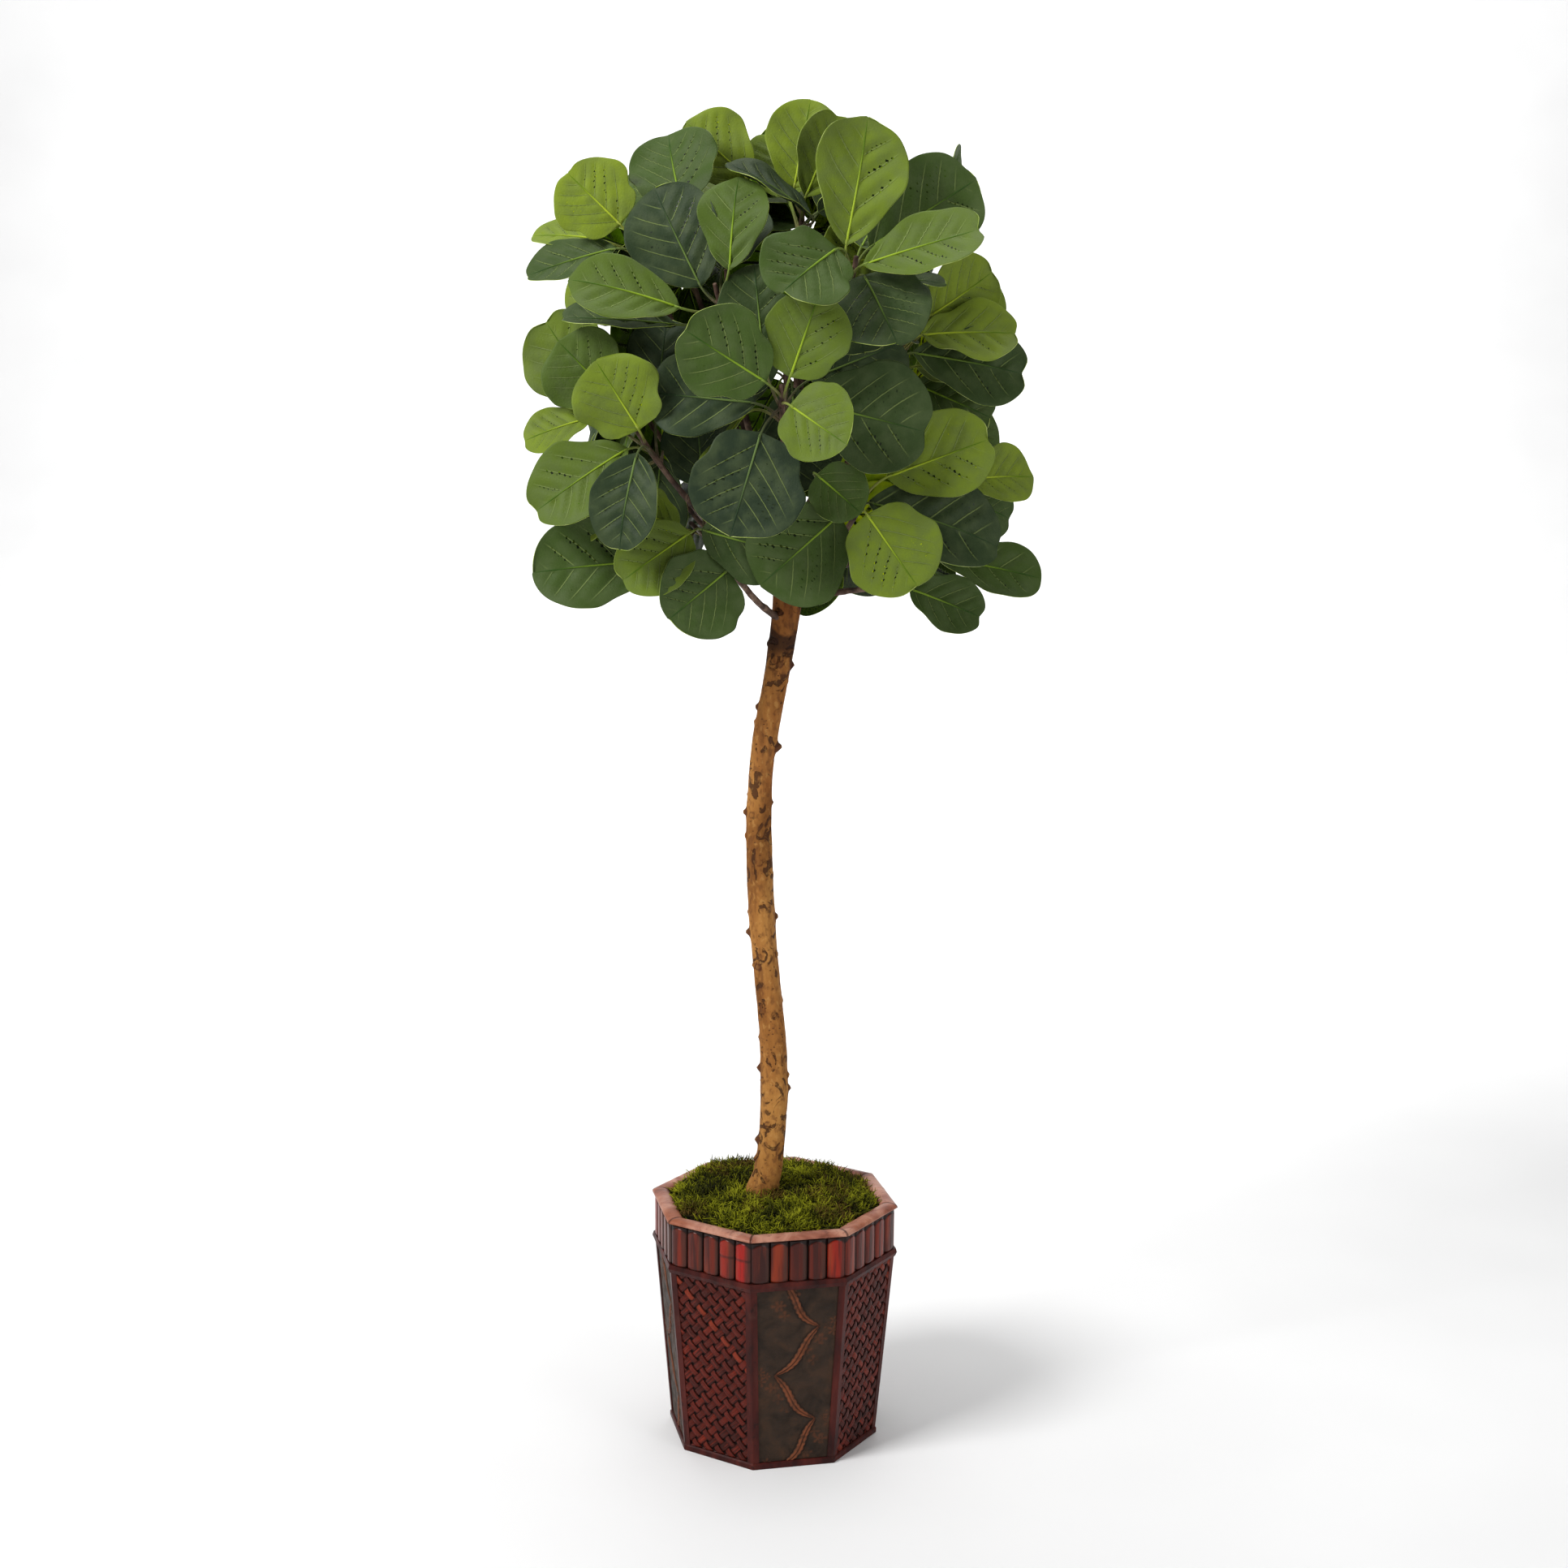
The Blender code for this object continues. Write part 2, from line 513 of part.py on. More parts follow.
def stalk_body(start, foot, axes):
    """A straight stalk from inside the stem to inside the foot of the blade."""
    return tube([start, foot + axes[0] * STALK_INTO_BLADE], [STALK_THICK / 2, STALK_THICK * 0.4], 4)


def stem_points(facing, foot_z, lift, tip, steps=5):
    """Centre line of a stem, from just outside the trunk to its tip."""
    centre, radius = trunk_at(foot_z)
    way = (tip - centre).normalized()
    flat = Vector((way.x, way.y, 0)).normalized()
    start = centre + flat * (radius * 1.05 + 0.0026)
    first = start + (flat * 0.25 + Vector((0, 0, 0.1))) * (tip - start).length
    second = tip - (flat * 0.25 + Vector((0, 0, 0.08 * lift))) * (tip - start).length * 0.5
    line = []
    for k in range(steps + 1):
        t = k / steps
        near = start * (1 - t) ** 3 + first * 3 * t * (1 - t) ** 2
        line.append(near + second * 3 * t**2 * (1 - t) + tip * t**3)
    return line


def tube(line, radii, sides=5):
    """A round rod along a line, with its rings carried along without twist."""
    rings = []
    across = None
    for i, place in enumerate(line):
        way = (line[min(i + 1, len(line) - 1)] - line[max(i - 1, 0)]).normalized()
        across = way.orthogonal() if across is None else across - way * across.dot(way)
        across.normalize()
        other = across.cross(way)
        turns = [2 * pi * k / sides for k in range(sides)]
        rings.append([place + (across * cos(a) + other * sin(a)) * radii[i] for a in turns])
    return loft(rings)


def stem_radii(count):
    """A stem tapers along its length and ends in a small bud."""
    return [0.0042 - 0.0016 * k / (count - 1) for k in range(count - 1)] + [0.0046]


def stalk_start(line, number, count):
    """Where a leaf's stalk leaves the stem: one after another along its last stretch."""
    share = (len(line) - 1) * (0.80 + 0.17 * (count - 1 - number) / max(count - 1, 1))
    i = int(share)
    return line[i].lerp(line[i + 1], share - i)


def all_sprays():
    """Every spray as (name, facing, stem line, leaf rows), the far side's worked out from the one whorl."""
    found = []
    for name, facing, foot_z, lift, tip, leaves in SPRAYS:
        found.append((name, facing, stem_points(facing, foot_z, lift, Vector(tip) * CM), leaves))
    for name, facing, foot_z, reach, tip_z, turn in BACK_SPRAYS:
        right, up, front = spray_frame(facing)
        tip = Vector(CROWN_CENTRE_CM) + front * reach
        tip.z = tip_z
        leaves = []
        for bearing, lean, length, width, tone in WHORL:
            b = radians(bearing + turn)
            foot = tip + (right * cos(b) + up * sin(b)) * WHORL_STALK + front * (0.8 if lean > 5 else -0.4)
            leaves.append((*foot, bearing + turn, lean, 0, length, width, tone))
        found.append((name, facing, stem_points(facing, foot_z, 5, tip * CM), leaves))
    return found


def tries():
    """Small changes to a leaf, the least first: lean, depth, roll, bearing and size."""
    leans, depths = (0, 5, -5, 10, -10, 16, -16, 24, -24), (0, 1, -1, 2, -2)
    options = product(leans, depths, (0, 12, -12, 25), (0, 8, -8), (1, 0.92, 0.84))

    def effort(option):
        lean, depth, roll, bearing, size = option
        return abs(lean) / 5 + abs(depth) * 1.2 + abs(roll) / 8 + abs(bearing) / 5 + (1 - size) * 22

    return sorted(options, key=effort)


def tree_of(body):
    points, faces = body
    return BVHTree.FromPolygons([tuple(p) for p in points], faces)


def settled_leaves(sprays):
    """Leaves as (spray name, start, foot, axes, length, width, tone), eased until they clear each other."""
    stems = {name: tree_of(tube(line, stem_radii(len(line)))) for name, _, line, _ in sprays}
    stems["trunk"] = tree_of(trunk_body(0.002))
    options = tries()
    placed = []
    for name, facing, line, leaves in sprays:
        front = spray_frame(facing)[2]
        for number, (x, y, z, bearing, lean, roll, length, width, tone) in enumerate(leaves):
            own_foot = Vector((x, y, z)) * CM
            start = stalk_start(line, number, len(leaves))
            for more_lean, shift, more_roll, more_bearing, size in options:
                foot = own_foot + front * (shift * CM)
                axes = leaf_axes(facing, foot, bearing + more_bearing, lean + more_lean, roll + more_roll)
                size_m = (length * size * CM, width * size * CM)
                blade_tree = tree_of(blade_body(foot, axes, *size_m, CLEAR_THICK))
                stalk_tree = tree_of(stalk_body(start, foot, axes))
                middle, reach = foot + axes[0] * (size_m[0] / 2), size_m[0] * 0.62 + 0.02
                if any(
                    blade_tree.overlap(stem) or (other != name and stalk_tree.overlap(stem))
                    for other, stem in stems.items()
                ):
                    continue
                if any(
                    (middle - far).length < reach + far_reach
                    and (
                        blade_tree.overlap(far_blade)
                        or (other != name and blade_tree.overlap(far_stalk))
                        or (other != name and stalk_tree.overlap(far_blade))
                        or (other != name and stalk_tree.overlap(far_stalk))
                    )
                    for other, far, far_reach, far_stalk, far_blade in (p[0] for p in placed)
                ):
                    continue
                leaf = (name, start, foot, axes, *size_m, tone)
                placed.append(((name, middle, reach, stalk_tree, blade_tree), leaf))
                break
    return [leaf for _, leaf in placed]


def build_sprays(leaf_green, stem_brown, tree):
    sprays = all_sprays()
    leaves = settled_leaves(sprays)
    for name, _, line, _ in sprays:
        stem = add_object(f"spray_{name}", *tube(line, stem_radii(len(line))), stem_brown, tree)
        stem.data.materials.append(leaf_green)
        group = helpers(f"leaves_{name}")
        own = [leaf for leaf in leaves if leaf[0] == name]
        for number, (_, start, foot, axes, length, width, _) in enumerate(own):
            blade = blade_body(foot, axes, length, width, BLADE_THICK)
            move_to(add_object(f"blade_{name}_{number}", *blade, leaf_green, tree), group)
            stalk = stalk_body(start, foot, axes)
            move_to(add_object(f"stalk_{name}_{number}", *stalk, leaf_green, tree), group)
        boolean(stem, "UNION", collection=group)


def main():
    clear_scene()
    lacquer = finish("lacquered_strip", (0.090, 0.017, 0.012), 0.35)
    woods = (
        lacquer,
        finish("woven_bamboo", (0.130, 0.022, 0.012), 0.4),
        finish("carved_bark", (0.045, 0.026, 0.016), 0.55),
        finish("rim_wood", (0.330, 0.120, 0.075), 0.4),
        finish("bamboo_slats", (0.200, 0.030, 0.014), 0.35),
    )
    build_planter(woods)
    tree = bpy.data.objects.new("tree", None)
    bpy.context.scene.collection.objects.link(tree)
    tree.rotation_euler = (0, 0, TREE_TURN)
    build_trunk(finish("bark", (0.330, 0.165, 0.060), 0.7), tree)
    earth = finish("soil", (0.050, 0.032, 0.020), 0.95)
    build_filling(earth, finish("moss", (0.085, 0.120, 0.015), 0.95), tree)
    stem_brown = finish("stem", (0.080, 0.045, 0.030), 0.6)
    build_sprays(finish("leaf", (0.060, 0.140, 0.015), 0.4), stem_brown, tree)


if __name__ == "__main__":
    main()
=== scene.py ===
"""The looks of a fiddle leaf fig in an eight-sided bamboo planter, laid out as a Blender add-on.

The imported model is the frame. Each operator builds one kind of piece round it, in metres.
"""

from itertools import product
from math import cos, hypot, pi, radians, sin, tan

import bpy
import numpy as np
from mathutils import Matrix, Vector, noise
from mathutils.bvhtree import BVHTree


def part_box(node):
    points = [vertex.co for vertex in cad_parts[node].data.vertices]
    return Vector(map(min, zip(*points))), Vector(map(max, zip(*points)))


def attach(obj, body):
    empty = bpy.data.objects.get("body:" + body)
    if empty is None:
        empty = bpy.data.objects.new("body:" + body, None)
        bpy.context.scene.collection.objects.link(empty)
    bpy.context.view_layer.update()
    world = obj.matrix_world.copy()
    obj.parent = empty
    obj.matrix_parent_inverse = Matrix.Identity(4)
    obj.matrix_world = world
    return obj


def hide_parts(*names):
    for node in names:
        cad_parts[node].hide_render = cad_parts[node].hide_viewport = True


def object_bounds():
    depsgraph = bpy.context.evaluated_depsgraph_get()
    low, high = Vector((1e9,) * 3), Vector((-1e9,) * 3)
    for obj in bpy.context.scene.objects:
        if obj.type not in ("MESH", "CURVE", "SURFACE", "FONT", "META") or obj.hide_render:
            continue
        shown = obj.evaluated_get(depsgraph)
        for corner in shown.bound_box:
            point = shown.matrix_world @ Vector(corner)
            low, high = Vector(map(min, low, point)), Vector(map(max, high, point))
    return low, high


bl_info = {
    "name": "Fiddle Leaf Fig",
    "version": (1, 0, 0),
    "blender": (4, 5, 0),
    "location": "View3D > Sidebar > Fig",
    "description": "Builds the leaves, bark, moss and bamboo planter of a potted fiddle leaf fig",
    "category": "Object",
}

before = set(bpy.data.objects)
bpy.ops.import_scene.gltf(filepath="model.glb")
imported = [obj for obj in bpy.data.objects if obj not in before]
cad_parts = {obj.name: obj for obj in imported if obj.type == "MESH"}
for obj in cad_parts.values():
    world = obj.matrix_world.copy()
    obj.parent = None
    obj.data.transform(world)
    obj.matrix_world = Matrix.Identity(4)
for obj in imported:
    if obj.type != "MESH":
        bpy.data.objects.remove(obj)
CAD_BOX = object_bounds()

CM = 0.01
SIDES = 8
HALF_SIDE = pi / SIDES
TREE_TURN = radians(-12.5)
TRUNK_SIDES, TRUNK_STEP = 10, 0.036
TRUNK_PATH_CM = (  # height, across, depth, diameter
    (13, -2.3, -0.8, 3.0), (25, -2.2, -0.9, 3.3), (29, -2.1, -0.9, 4.3), (31, -1.8, -0.9, 4.1),
    (34, -0.8, -0.8, 3.5), (39, -0.2, -0.6, 3.2), (45, 0.0, -0.4, 3.4), (51, -0.2, -0.2, 3.3),
    (58, -0.9, 0.1, 3.1), (65, -1.6, 0.4, 3.2), (72, -2.0, 0.6, 3.2), (79, -2.2, 0.6, 3.0),
    (86, -1.8, 0.5, 2.9), (93, -0.7, 0.3, 3.0), (100, 0.5, 0.1, 3.2), (106, 1.2, 0.0, 3.6),
    (113, 1.6, 0.0, 3.2), (121, 1.8, 0.0, 2.6),
)

KNOTS = (  # height in cm, side in degrees (0 is right, 90 is back), length in cm
    (38, 187, 0.7), (44.5, 0, 0.6), (47, 176, 0.7), (60, 230, 0.5),
    (64, 172, 0.8), (66, 10, 0.6), (71.5, 60, 0.6),
    (79, 180, 0.6), (84, 110, 0.7), (87, 5, 1.1), (92, 176, 0.6), (97, 8, 0.7),
)

# Leaves: blade half-widths along the midrib, as shares of the length and of the half-width.
BLADE = ((0.0, 0.07), (0.14, 0.52), (0.38, 0.80), (0.64, 1.0), (0.87, 0.82), (1.0, 0.26))
BLADE_CUP, BLADE_BEND = 0.16, 0.10  # edges lifted, and tip bent back, as shares of half-width and length
STALK_THICK, STALK_INTO_BLADE = 0.0034, 0.005
CLEAR_THICK = 0.0060  # the thickness that neighbouring blades are kept apart for
CROWN_CENTRE_CM = (0, 0, 133)

# One spray is a stem with its whorl of leaves. Each row gives its name, the side that it faces in degrees
# (0 is the front), the height where its stem leaves the trunk, the stem's lift, its tip and its leaves.
# A leaf is: foot of the blade (across, depth, height), bearing in the facing plane (0 right, 90 up),
# lean towards the facing side, roll, length, width and tone (0 deep green, 1 yellow green).
# The tones follow how bright each leaf looks, so some leaves in the crown's shade carry painted shade and
# backlit leaves at the back carry painted light.
SPRAYS = (
    ("upper_right", 0, 114.5, 6, (8.3, -15, 143.5), (
        (7.2, -16.5, 145.5, 79, -5, 0, 14.3, 10.5, 0.78),
        (9.2, -17.5, 143.4, 19, 12, -25, 13.8, 9.5, 0.62),
        (10.0, -12.5, 145.5, 33, -8, 0, 14.5, 11.5, 0.38),
        (6.2, -19.0, 145.0, 216, 46, 0, 10.5, 11.0, 0.42),
        (9.3, -16.0, 142.3, -63, 38, 0, 10.2, 12.0, 0.18),
        (9.5, -14.0, 142.2, 0, 10, -60, 9.0, 7.0, 0.30),
        (8.0, -13.5, 141.5, -80, 15, 0, 8.0, 8.0, 0.12),
        (9.0, -11.5, 145.5, 60, -66, 0, 12.5, 10.5, 0.45),
    )),
    ("top_middle", 0, 120.4, 4, (2.5, -5.5, 150.0), (
        (1.5, -4.5, 152.45, 80, -5, 0, 10.2, 8.6, 0.92),
        (2.8, -7.0, 151.3, 67, 0, 25, 10.2, 7.5, 0.80),
        (3.4, -9.0, 149.2, 142, 8, 50, 10.8, 8.0, 0.05),
        (4.2, -7.0, 149.5, 30, 5, 60, 5.5, 5.0, 0.10),
        (1.0, -1.0, 151.5, 108, -25, 0, 9.5, 8.5, 0.75),
        (2.0, -2.5, 148.0, 262, 0, 0, 12.0, 10.0, 0.10),
        (1.0, -2.5, 151.0, 120, -68, 0, 12.0, 10.5, 0.60),
        (4.5, -3.0, 150.0, 38, -62, 0, 12.0, 10.0, 0.35),
    )),
    ("front_middle", 0, 110.0, 5, (0.3, -20, 129.6), (
        (-1.4, -21.5, 130.6, 148, 8, 0, 11.0, 10.8, 0.42),
        (1.2, -21.0, 131.2, 71, 5, 0, 9.6, 9.8, 0.68),
        (1.3, -21.5, 128.2, -34, 30, 0, 8.3, 9.3, 0.72),
        (-1.9, -20.5, 125.2, -107, 12, 0, 11.8, 13.2, 0.02),
        (-1.8, -16.5, 133.5, 96, -8, 0, 10.3, 10.0, 0.20),
        (3.2, -18.0, 128.5, -13, 3, 0, 14.0, 12.5, 0.22),
        # a leaf deep in the crown: its dark tone is painted shade
        (3.5, -14.0, 131.0, 22, -12, 0, 12.0, 11.0, 0.10),
        (-2.5, -17.5, 128.3, 174, 0, 15, 12.0, 9.5, 0.05),
        (-3.6, -18.5, 127.3, 230, 5, 75, 9.3, 5.0, 0.80),
        (1.5, -9.0, 130.0, 275, 0, 0, 12.0, 10.5, 0.08),
    )),
    ("upper_left", 0, 116.0, 6, (-7.0, -14, 140.5), (
        (-5.6, -17.0, 142.8, 87, -2, 0, 11.8, 8.8, 0.55),
        (-8.8, -13.0, 141.0, 117, -4, 0, 12.6, 11.0, 0.08),
        (-11.0, -17.0, 138.6, 161, 10, 25, 12.3, 8.5, 0.58),
        (-11.5, -15.0, 136.8, 173, 5, 45, 12.7, 8.0, 0.25),
        (-6.3, -17.0, 140.8, 203, 12, 72, 9.0, 5.0, 0.85),
        (-6.0, -9.5, 139.5, 282, -5, 0, 11.0, 9.5, 0.08),
        (-6.5, -11.0, 143.0, 75, -50, 0, 11.5, 9.5, 0.15),
    )),
    ("left_front", 0, 107.5, 4, (-15.3, -15, 124.3), (
        (-15.5, -17.0, 125.3, 122, 15, 0, 8.8, 10.5, 0.84),
        (-18.0, -15.5, 128.3, 135, 5, 0, 9.3, 10.0, 0.55),
        (-20.5, -9.0, 128.0, 125, -8, 0, 12.0, 10.5, 0.72),
        (-21.5, -8.0, 126.4, 194, 0, 35, 8.4, 6.5, 0.85),
        (-16.8, -16.0, 123.2, 211, 8, 20, 13.0, 9.5, 0.62),
        (-15.6, -17.5, 122.8, -104, 10, 0, 11.0, 8.2, 0.06),
        (-18.0, -12.0, 119.4, 213, 0, 10, 9.2, 8.5, 0.90),
        (-14.0, -10.0, 127.0, 85, -10, 0, 11.0, 9.0, 0.08),
        (-13.5, -7.0, 122.0, 262, -5, 0, 11.5, 9.5, 0.10),
    )),
    ("lower_left", 0, 103.2, 1, (-9.5, -12, 114.3), (
        (-14.2, -13.0, 110.5, 184, 5, 10, 13.6, 10.5, 0.40),
        (-9.9, -14.5, 113.8, 214, 15, 0, 9.8, 8.5, 0.72),
        (-5.6, -14.0, 109.6, 219, 25, 0, 9.3, 11.0, 0.33),
        (-8.6, -14.5, 114.2, -16, 10, 0, 10.3, 9.0, 0.25),
        (-11.3, -11.0, 114.2, 160, 5, 0, 6.5, 6.5, 0.88),
        (-8.7, -11.0, 119.0, 95, -15, 0, 9.0, 9.0, 0.05),
        (-7.0, -6.5, 114.0, 60, -5, 0, 10.0, 9.0, 0.30),
    )),
    ("lower_right", 0, 106.0, 3, (9.3, -15, 117.0), (
        (9.9, -17.0, 116.2, -54, 12, 0, 10.0, 11.2, 0.82),
        (10.2, -14.5, 117.4, -14, 0, -20, 16.0, 10.5, 0.12),
        (12.2, -14.0, 120.2, 21, 5, -10, 12.7, 10.0, 0.84),
        (6.9, -15.5, 116.0, 222, 8, 0, 11.8, 12.0, 0.38),
        (4.3, -14.0, 120.5, -40, 10, 0, 6.5, 7.0, 0.42),
    )),
    ("lowest_right", 0, 105.0, 2, (14.3, -7, 107.9), (
        (15.3, -7.5, 107.1, -20, 3, -20, 9.3, 7.0, 0.35),
        (18.5, -4.5, 110.5, -8, 0, -35, 12.8, 7.5, 0.45),
    )),
    ("right_low", 15, 108.5, 3, (18.5, -7, 118.8), (
        (21.3, -8.5, 119.8, 4, 0, -15, 8.8, 7.2, 0.93),
        (20.5, -6.0, 117.8, -20, -5, 0, 8.5, 8.0, 0.30),
        (20.0, -5.0, 121.0, 52, -10, 0, 8.5, 8.0, 0.50),
    )),
    ("right_middle", 0, 112.5, 5, (13.8, -11, 134.5), (
        (16.0, -12.0, 136.0, 5, 3, -30, 11.0, 8.5, 0.90),
        (16.8, -9.5, 138.0, 33, -3, 10, 9.2, 8.5, 0.93),
        (18.5, -6.0, 137.5, 26, -8, 0, 8.0, 6.0, 0.85),
        (15.0, -13.0, 134.0, -8, 4, 0, 13.5, 9.0, 0.22),
        (14.6, -16.5, 136.0, -42, 10, 72, 9.2, 5.5, 0.30),
        (15.5, -9.0, 132.5, 5, -5, -20, 10.0, 8.0, 0.80),
        (15.5, -8.0, 130.5, -22, -5, 0, 10.0, 8.0, 0.40),
    )),
    ("left_high", 0, 117.5, 6, (-16.0, -4, 145.8), (
        (-18.1, -7.0, 148.0, 136, 0, 0, 8.8, 10.2, 0.95),
        (-20.9, -3.0, 146.6, 171, -5, 40, 7.8, 6.0, 0.90),
        (-18.6, -6.5, 145.4, 193, 3, 20, 10.8, 7.5, 0.30),
        (-18.0, -2.0, 143.0, 212, -5, 0, 8.5, 8.0, 0.90),
        (-15.0, -1.5, 146.8, 70, -62, 0, 11.5, 10.0, 0.50),
    )),
    ("top_left", 0, 119.0, 5, (-8.0, -3, 150.2), (
        (-11.3, -7.0, 150.6, 104, -25, 0, 9.8, 11.0, 0.40),
        (-7.0, -9.0, 150.3, 112, -12, 0, 7.5, 8.0, 0.60),
        (-3.7, -3.0, 153.4, 137, 0, -20, 9.8, 9.0, 0.93),
        (-10.5, -1.0, 150.5, 140, -25, 0, 9.5, 9.0, 0.50),
        (-7.5, -1.0, 151.0, 50, -64, 0, 11.5, 10.0, 0.70),
        (-6.0, -1.0, 148.5, 20, -35, 0, 10.5, 9.5, 0.25),
    )),
)
# The far side's sprays repeat one whorl: facing side, height of the stem's foot, tip's distance from the
# trunk, tip's height, and how far the whorl is turned.
BACK_SPRAYS = (
    ("right_back_low", 102, 107.5, 17, 113.5, 0), ("right_back_high", 84, 115.5, 14, 144.5, 40),
    ("back_right_middle", 124, 111.5, 18, 129.0, 15), ("back_top", 165, 119.8, 8, 148.3, 30),
    ("back_low", 165, 104.5, 17, 114.5, 46), ("back_middle", 178, 113.5, 19, 132.0, 10),
    ("back_left_low", 225, 106.7, 18, 117.5, 35), ("back_left_high", 232, 117.0, 14, 143.5, 5),
    ("left_back_middle", 272, 110.7, 18, 130.0, 25),
)
WHORL = (  # bearing, lean, length, width, tone
    (85, 6, 12.6, 10.5, 0.75), (32, 22, 13.0, 10.0, 0.45), (-18, 8, 12.5, 10.2, 0.20),
    (-70, 26, 11.0, 10.5, 0.55), (-124, 10, 12.0, 9.8, 0.35), (182, 24, 12.0, 10.0, 0.12),
    (135, 2, 12.0, 9.6, 0.88),
)
WHORL_STALK = 1.6


# ---------------------------------------------------------------- where the leaves and stems are

def loft(rings):
    """Points and faces of a closed body through rings with the same number of points."""
    count = len(rings[0])
    points = [p for ring in rings for p in ring]
    faces = [tuple(range(count - 1, -1, -1)), tuple(range(len(points) - count, len(points)))]
    for row in range(len(rings) - 1):
        low = row * count
        for i in range(count):
            j = (i + 1) % count
            faces.append((low + i, low + j, low + count + j, low + count + i))
    return points, faces


def smooth_at(rows, z):
    """Catmull-Rom reading of a table whose first column rises."""
    last = len(rows) - 1
    i = max(k for k in range(last) if rows[k][0] <= z or k == 0)
    t = (z - rows[i][0]) / (rows[i + 1][0] - rows[i][0])
    before, start, end, after = rows[max(i - 1, 0)], rows[i], rows[i + 1], rows[min(i + 2, last)]
    found = []
    for a, b, c, d in zip(before[1:], start[1:], end[1:], after[1:]):
        curve = 2 * b + (c - a) * t + (2 * a - 5 * b + 4 * c - d) * t**2 + (3 * b - a - 3 * c + d) * t**3
        found.append(0.5 * curve)
    return found


def trunk_at(z_cm):
    """Centre and radius of the trunk at a height, in metres."""
    across, depth, diameter = smooth_at(TRUNK_PATH_CM, z_cm)
    return Vector((across, depth, z_cm)) * CM, diameter * CM / 2


def trunk_body(grow=0.0):
    """The trunk, or the slightly larger body that bores its seat in the soil and moss."""
    rings = []
    low, high = TRUNK_PATH_CM[0][0], TRUNK_PATH_CM[-1][0]
    steps = round((high - low) * CM / TRUNK_STEP)
    for step in range(steps + 1):
        centre, radius = trunk_at(low + (high - low) * step / steps)
        ring = []
        for k in range(TRUNK_SIDES):
            angle = 2 * pi * k / TRUNK_SIDES
            reach = radius * (1 + 0.05 * sin(3 * angle + 9 * centre.z)) + grow
            ring.append(centre + Vector((cos(angle) * reach, sin(angle) * reach, 0 if step else -grow)))
        rings.append(ring)
    return loft(rings)


def spray_frame(facing):
    """Right, up and facing directions of a spray that looks to a side, in degrees from the front."""
    angle = radians(facing)
    front = Vector((sin(angle), -cos(angle), 0))
    return Vector((cos(angle), sin(angle), 0)), Vector((0, 0, 1)), front


def leaf_axes(facing, foot, bearing, lean, roll):
    """Pointing, sideways and upper-face directions of a leaf."""
    right, up, front = spray_frame(facing)
    b, tilt = radians(bearing), radians(lean)
    point = right * (cos(b) * cos(tilt)) + up * (sin(b) * cos(tilt)) + front * sin(tilt)
    outward = (foot - Vector(CROWN_CENTRE_CM) * CM).normalized()
    look = front * 0.75 + outward * 0.35 + up * 0.2
    face = (look - point * look.dot(point)).normalized()
    face = Matrix.Rotation(radians(roll), 3, point) @ face
    return point, face.cross(point), face


def blade_body(foot, axes, length, width, thick):
    """A folded leaf blade as one closed body, with four points in each ring."""
    point, side, face = axes
    rings = []
    for along, wide in BLADE:
        middle = foot + point * (length * along) - face * (length * BLADE_BEND * along**2)
        half = wide * width / 2
        lift = face * (half * BLADE_CUP)
        skin = face * (thick / 2)
        rings.append([middle - side * half + lift, middle + skin, middle + side * half + lift, middle - skin])
    return loft(rings)


def stalk_body(start, foot, axes):
    """A straight stalk from inside the stem to inside the foot of the blade."""
    return tube([start, foot + axes[0] * STALK_INTO_BLADE], [STALK_THICK / 2, STALK_THICK * 0.4], 4)


def stem_points(foot_z, lift, tip, steps=5):
    """Centre line of a stem, from just outside the trunk to its tip."""
    centre, radius = trunk_at(foot_z)
    way = (tip - centre).normalized()
    flat = Vector((way.x, way.y, 0)).normalized()
    start = centre + flat * (radius * 1.05 + 0.0026)
    first = start + (flat * 0.25 + Vector((0, 0, 0.1))) * (tip - start).length
    second = tip - (flat * 0.25 + Vector((0, 0, 0.08 * lift))) * (tip - start).length * 0.5
    line = []
    for k in range(steps + 1):
        t = k / steps
        near = start * (1 - t) ** 3 + first * 3 * t * (1 - t) ** 2
        line.append(near + second * 3 * t**2 * (1 - t) + tip * t**3)
    return line


def tube(line, radii, sides=5):
    """A round rod along a line, with its rings carried along without twist."""
    rings = []
    across = None
    for i, place in enumerate(line):
        way = (line[min(i + 1, len(line) - 1)] - line[max(i - 1, 0)]).normalized()
        across = way.orthogonal() if across is None else across - way * across.dot(way)
        across.normalize()
        other = across.cross(way)
        turns = [2 * pi * k / sides for k in range(sides)]
        rings.append([place + (across * cos(a) + other * sin(a)) * radii[i] for a in turns])
    return loft(rings)


def stem_radii(count):
    """A stem tapers along its length and ends in a small bud."""
    return [0.0042 - 0.0016 * k / (count - 1) for k in range(count - 1)] + [0.0046]


def stalk_start(line, number, count):
    """Where a leaf's stalk leaves the stem: one after another along its last stretch."""
    share = (len(line) - 1) * (0.80 + 0.17 * (count - 1 - number) / max(count - 1, 1))
    i = int(share)
    return line[i].lerp(line[i + 1], share - i)


def all_sprays():
    """Every spray as (name, facing, stem line, leaf rows), the far side's worked out from the one whorl."""
    found = []
    for name, facing, foot_z, lift, tip, leaves in SPRAYS:
        found.append((name, facing, stem_points(foot_z, lift, Vector(tip) * CM), leaves))
    for name, facing, foot_z, reach, tip_z, turn in BACK_SPRAYS:
        right, up, front = spray_frame(facing)
        tip = Vector(CROWN_CENTRE_CM) + front * reach
        tip.z = tip_z
        leaves = []
        for bearing, lean, length, width, tone in WHORL:
            b = radians(bearing + turn)
            foot = tip + (right * cos(b) + up * sin(b)) * WHORL_STALK + front * (0.8 if lean > 5 else -0.4)
            leaves.append((*foot, bearing + turn, lean, 0, length, width, tone))
        found.append((name, facing, stem_points(foot_z, 5, tip * CM), leaves))
    return found


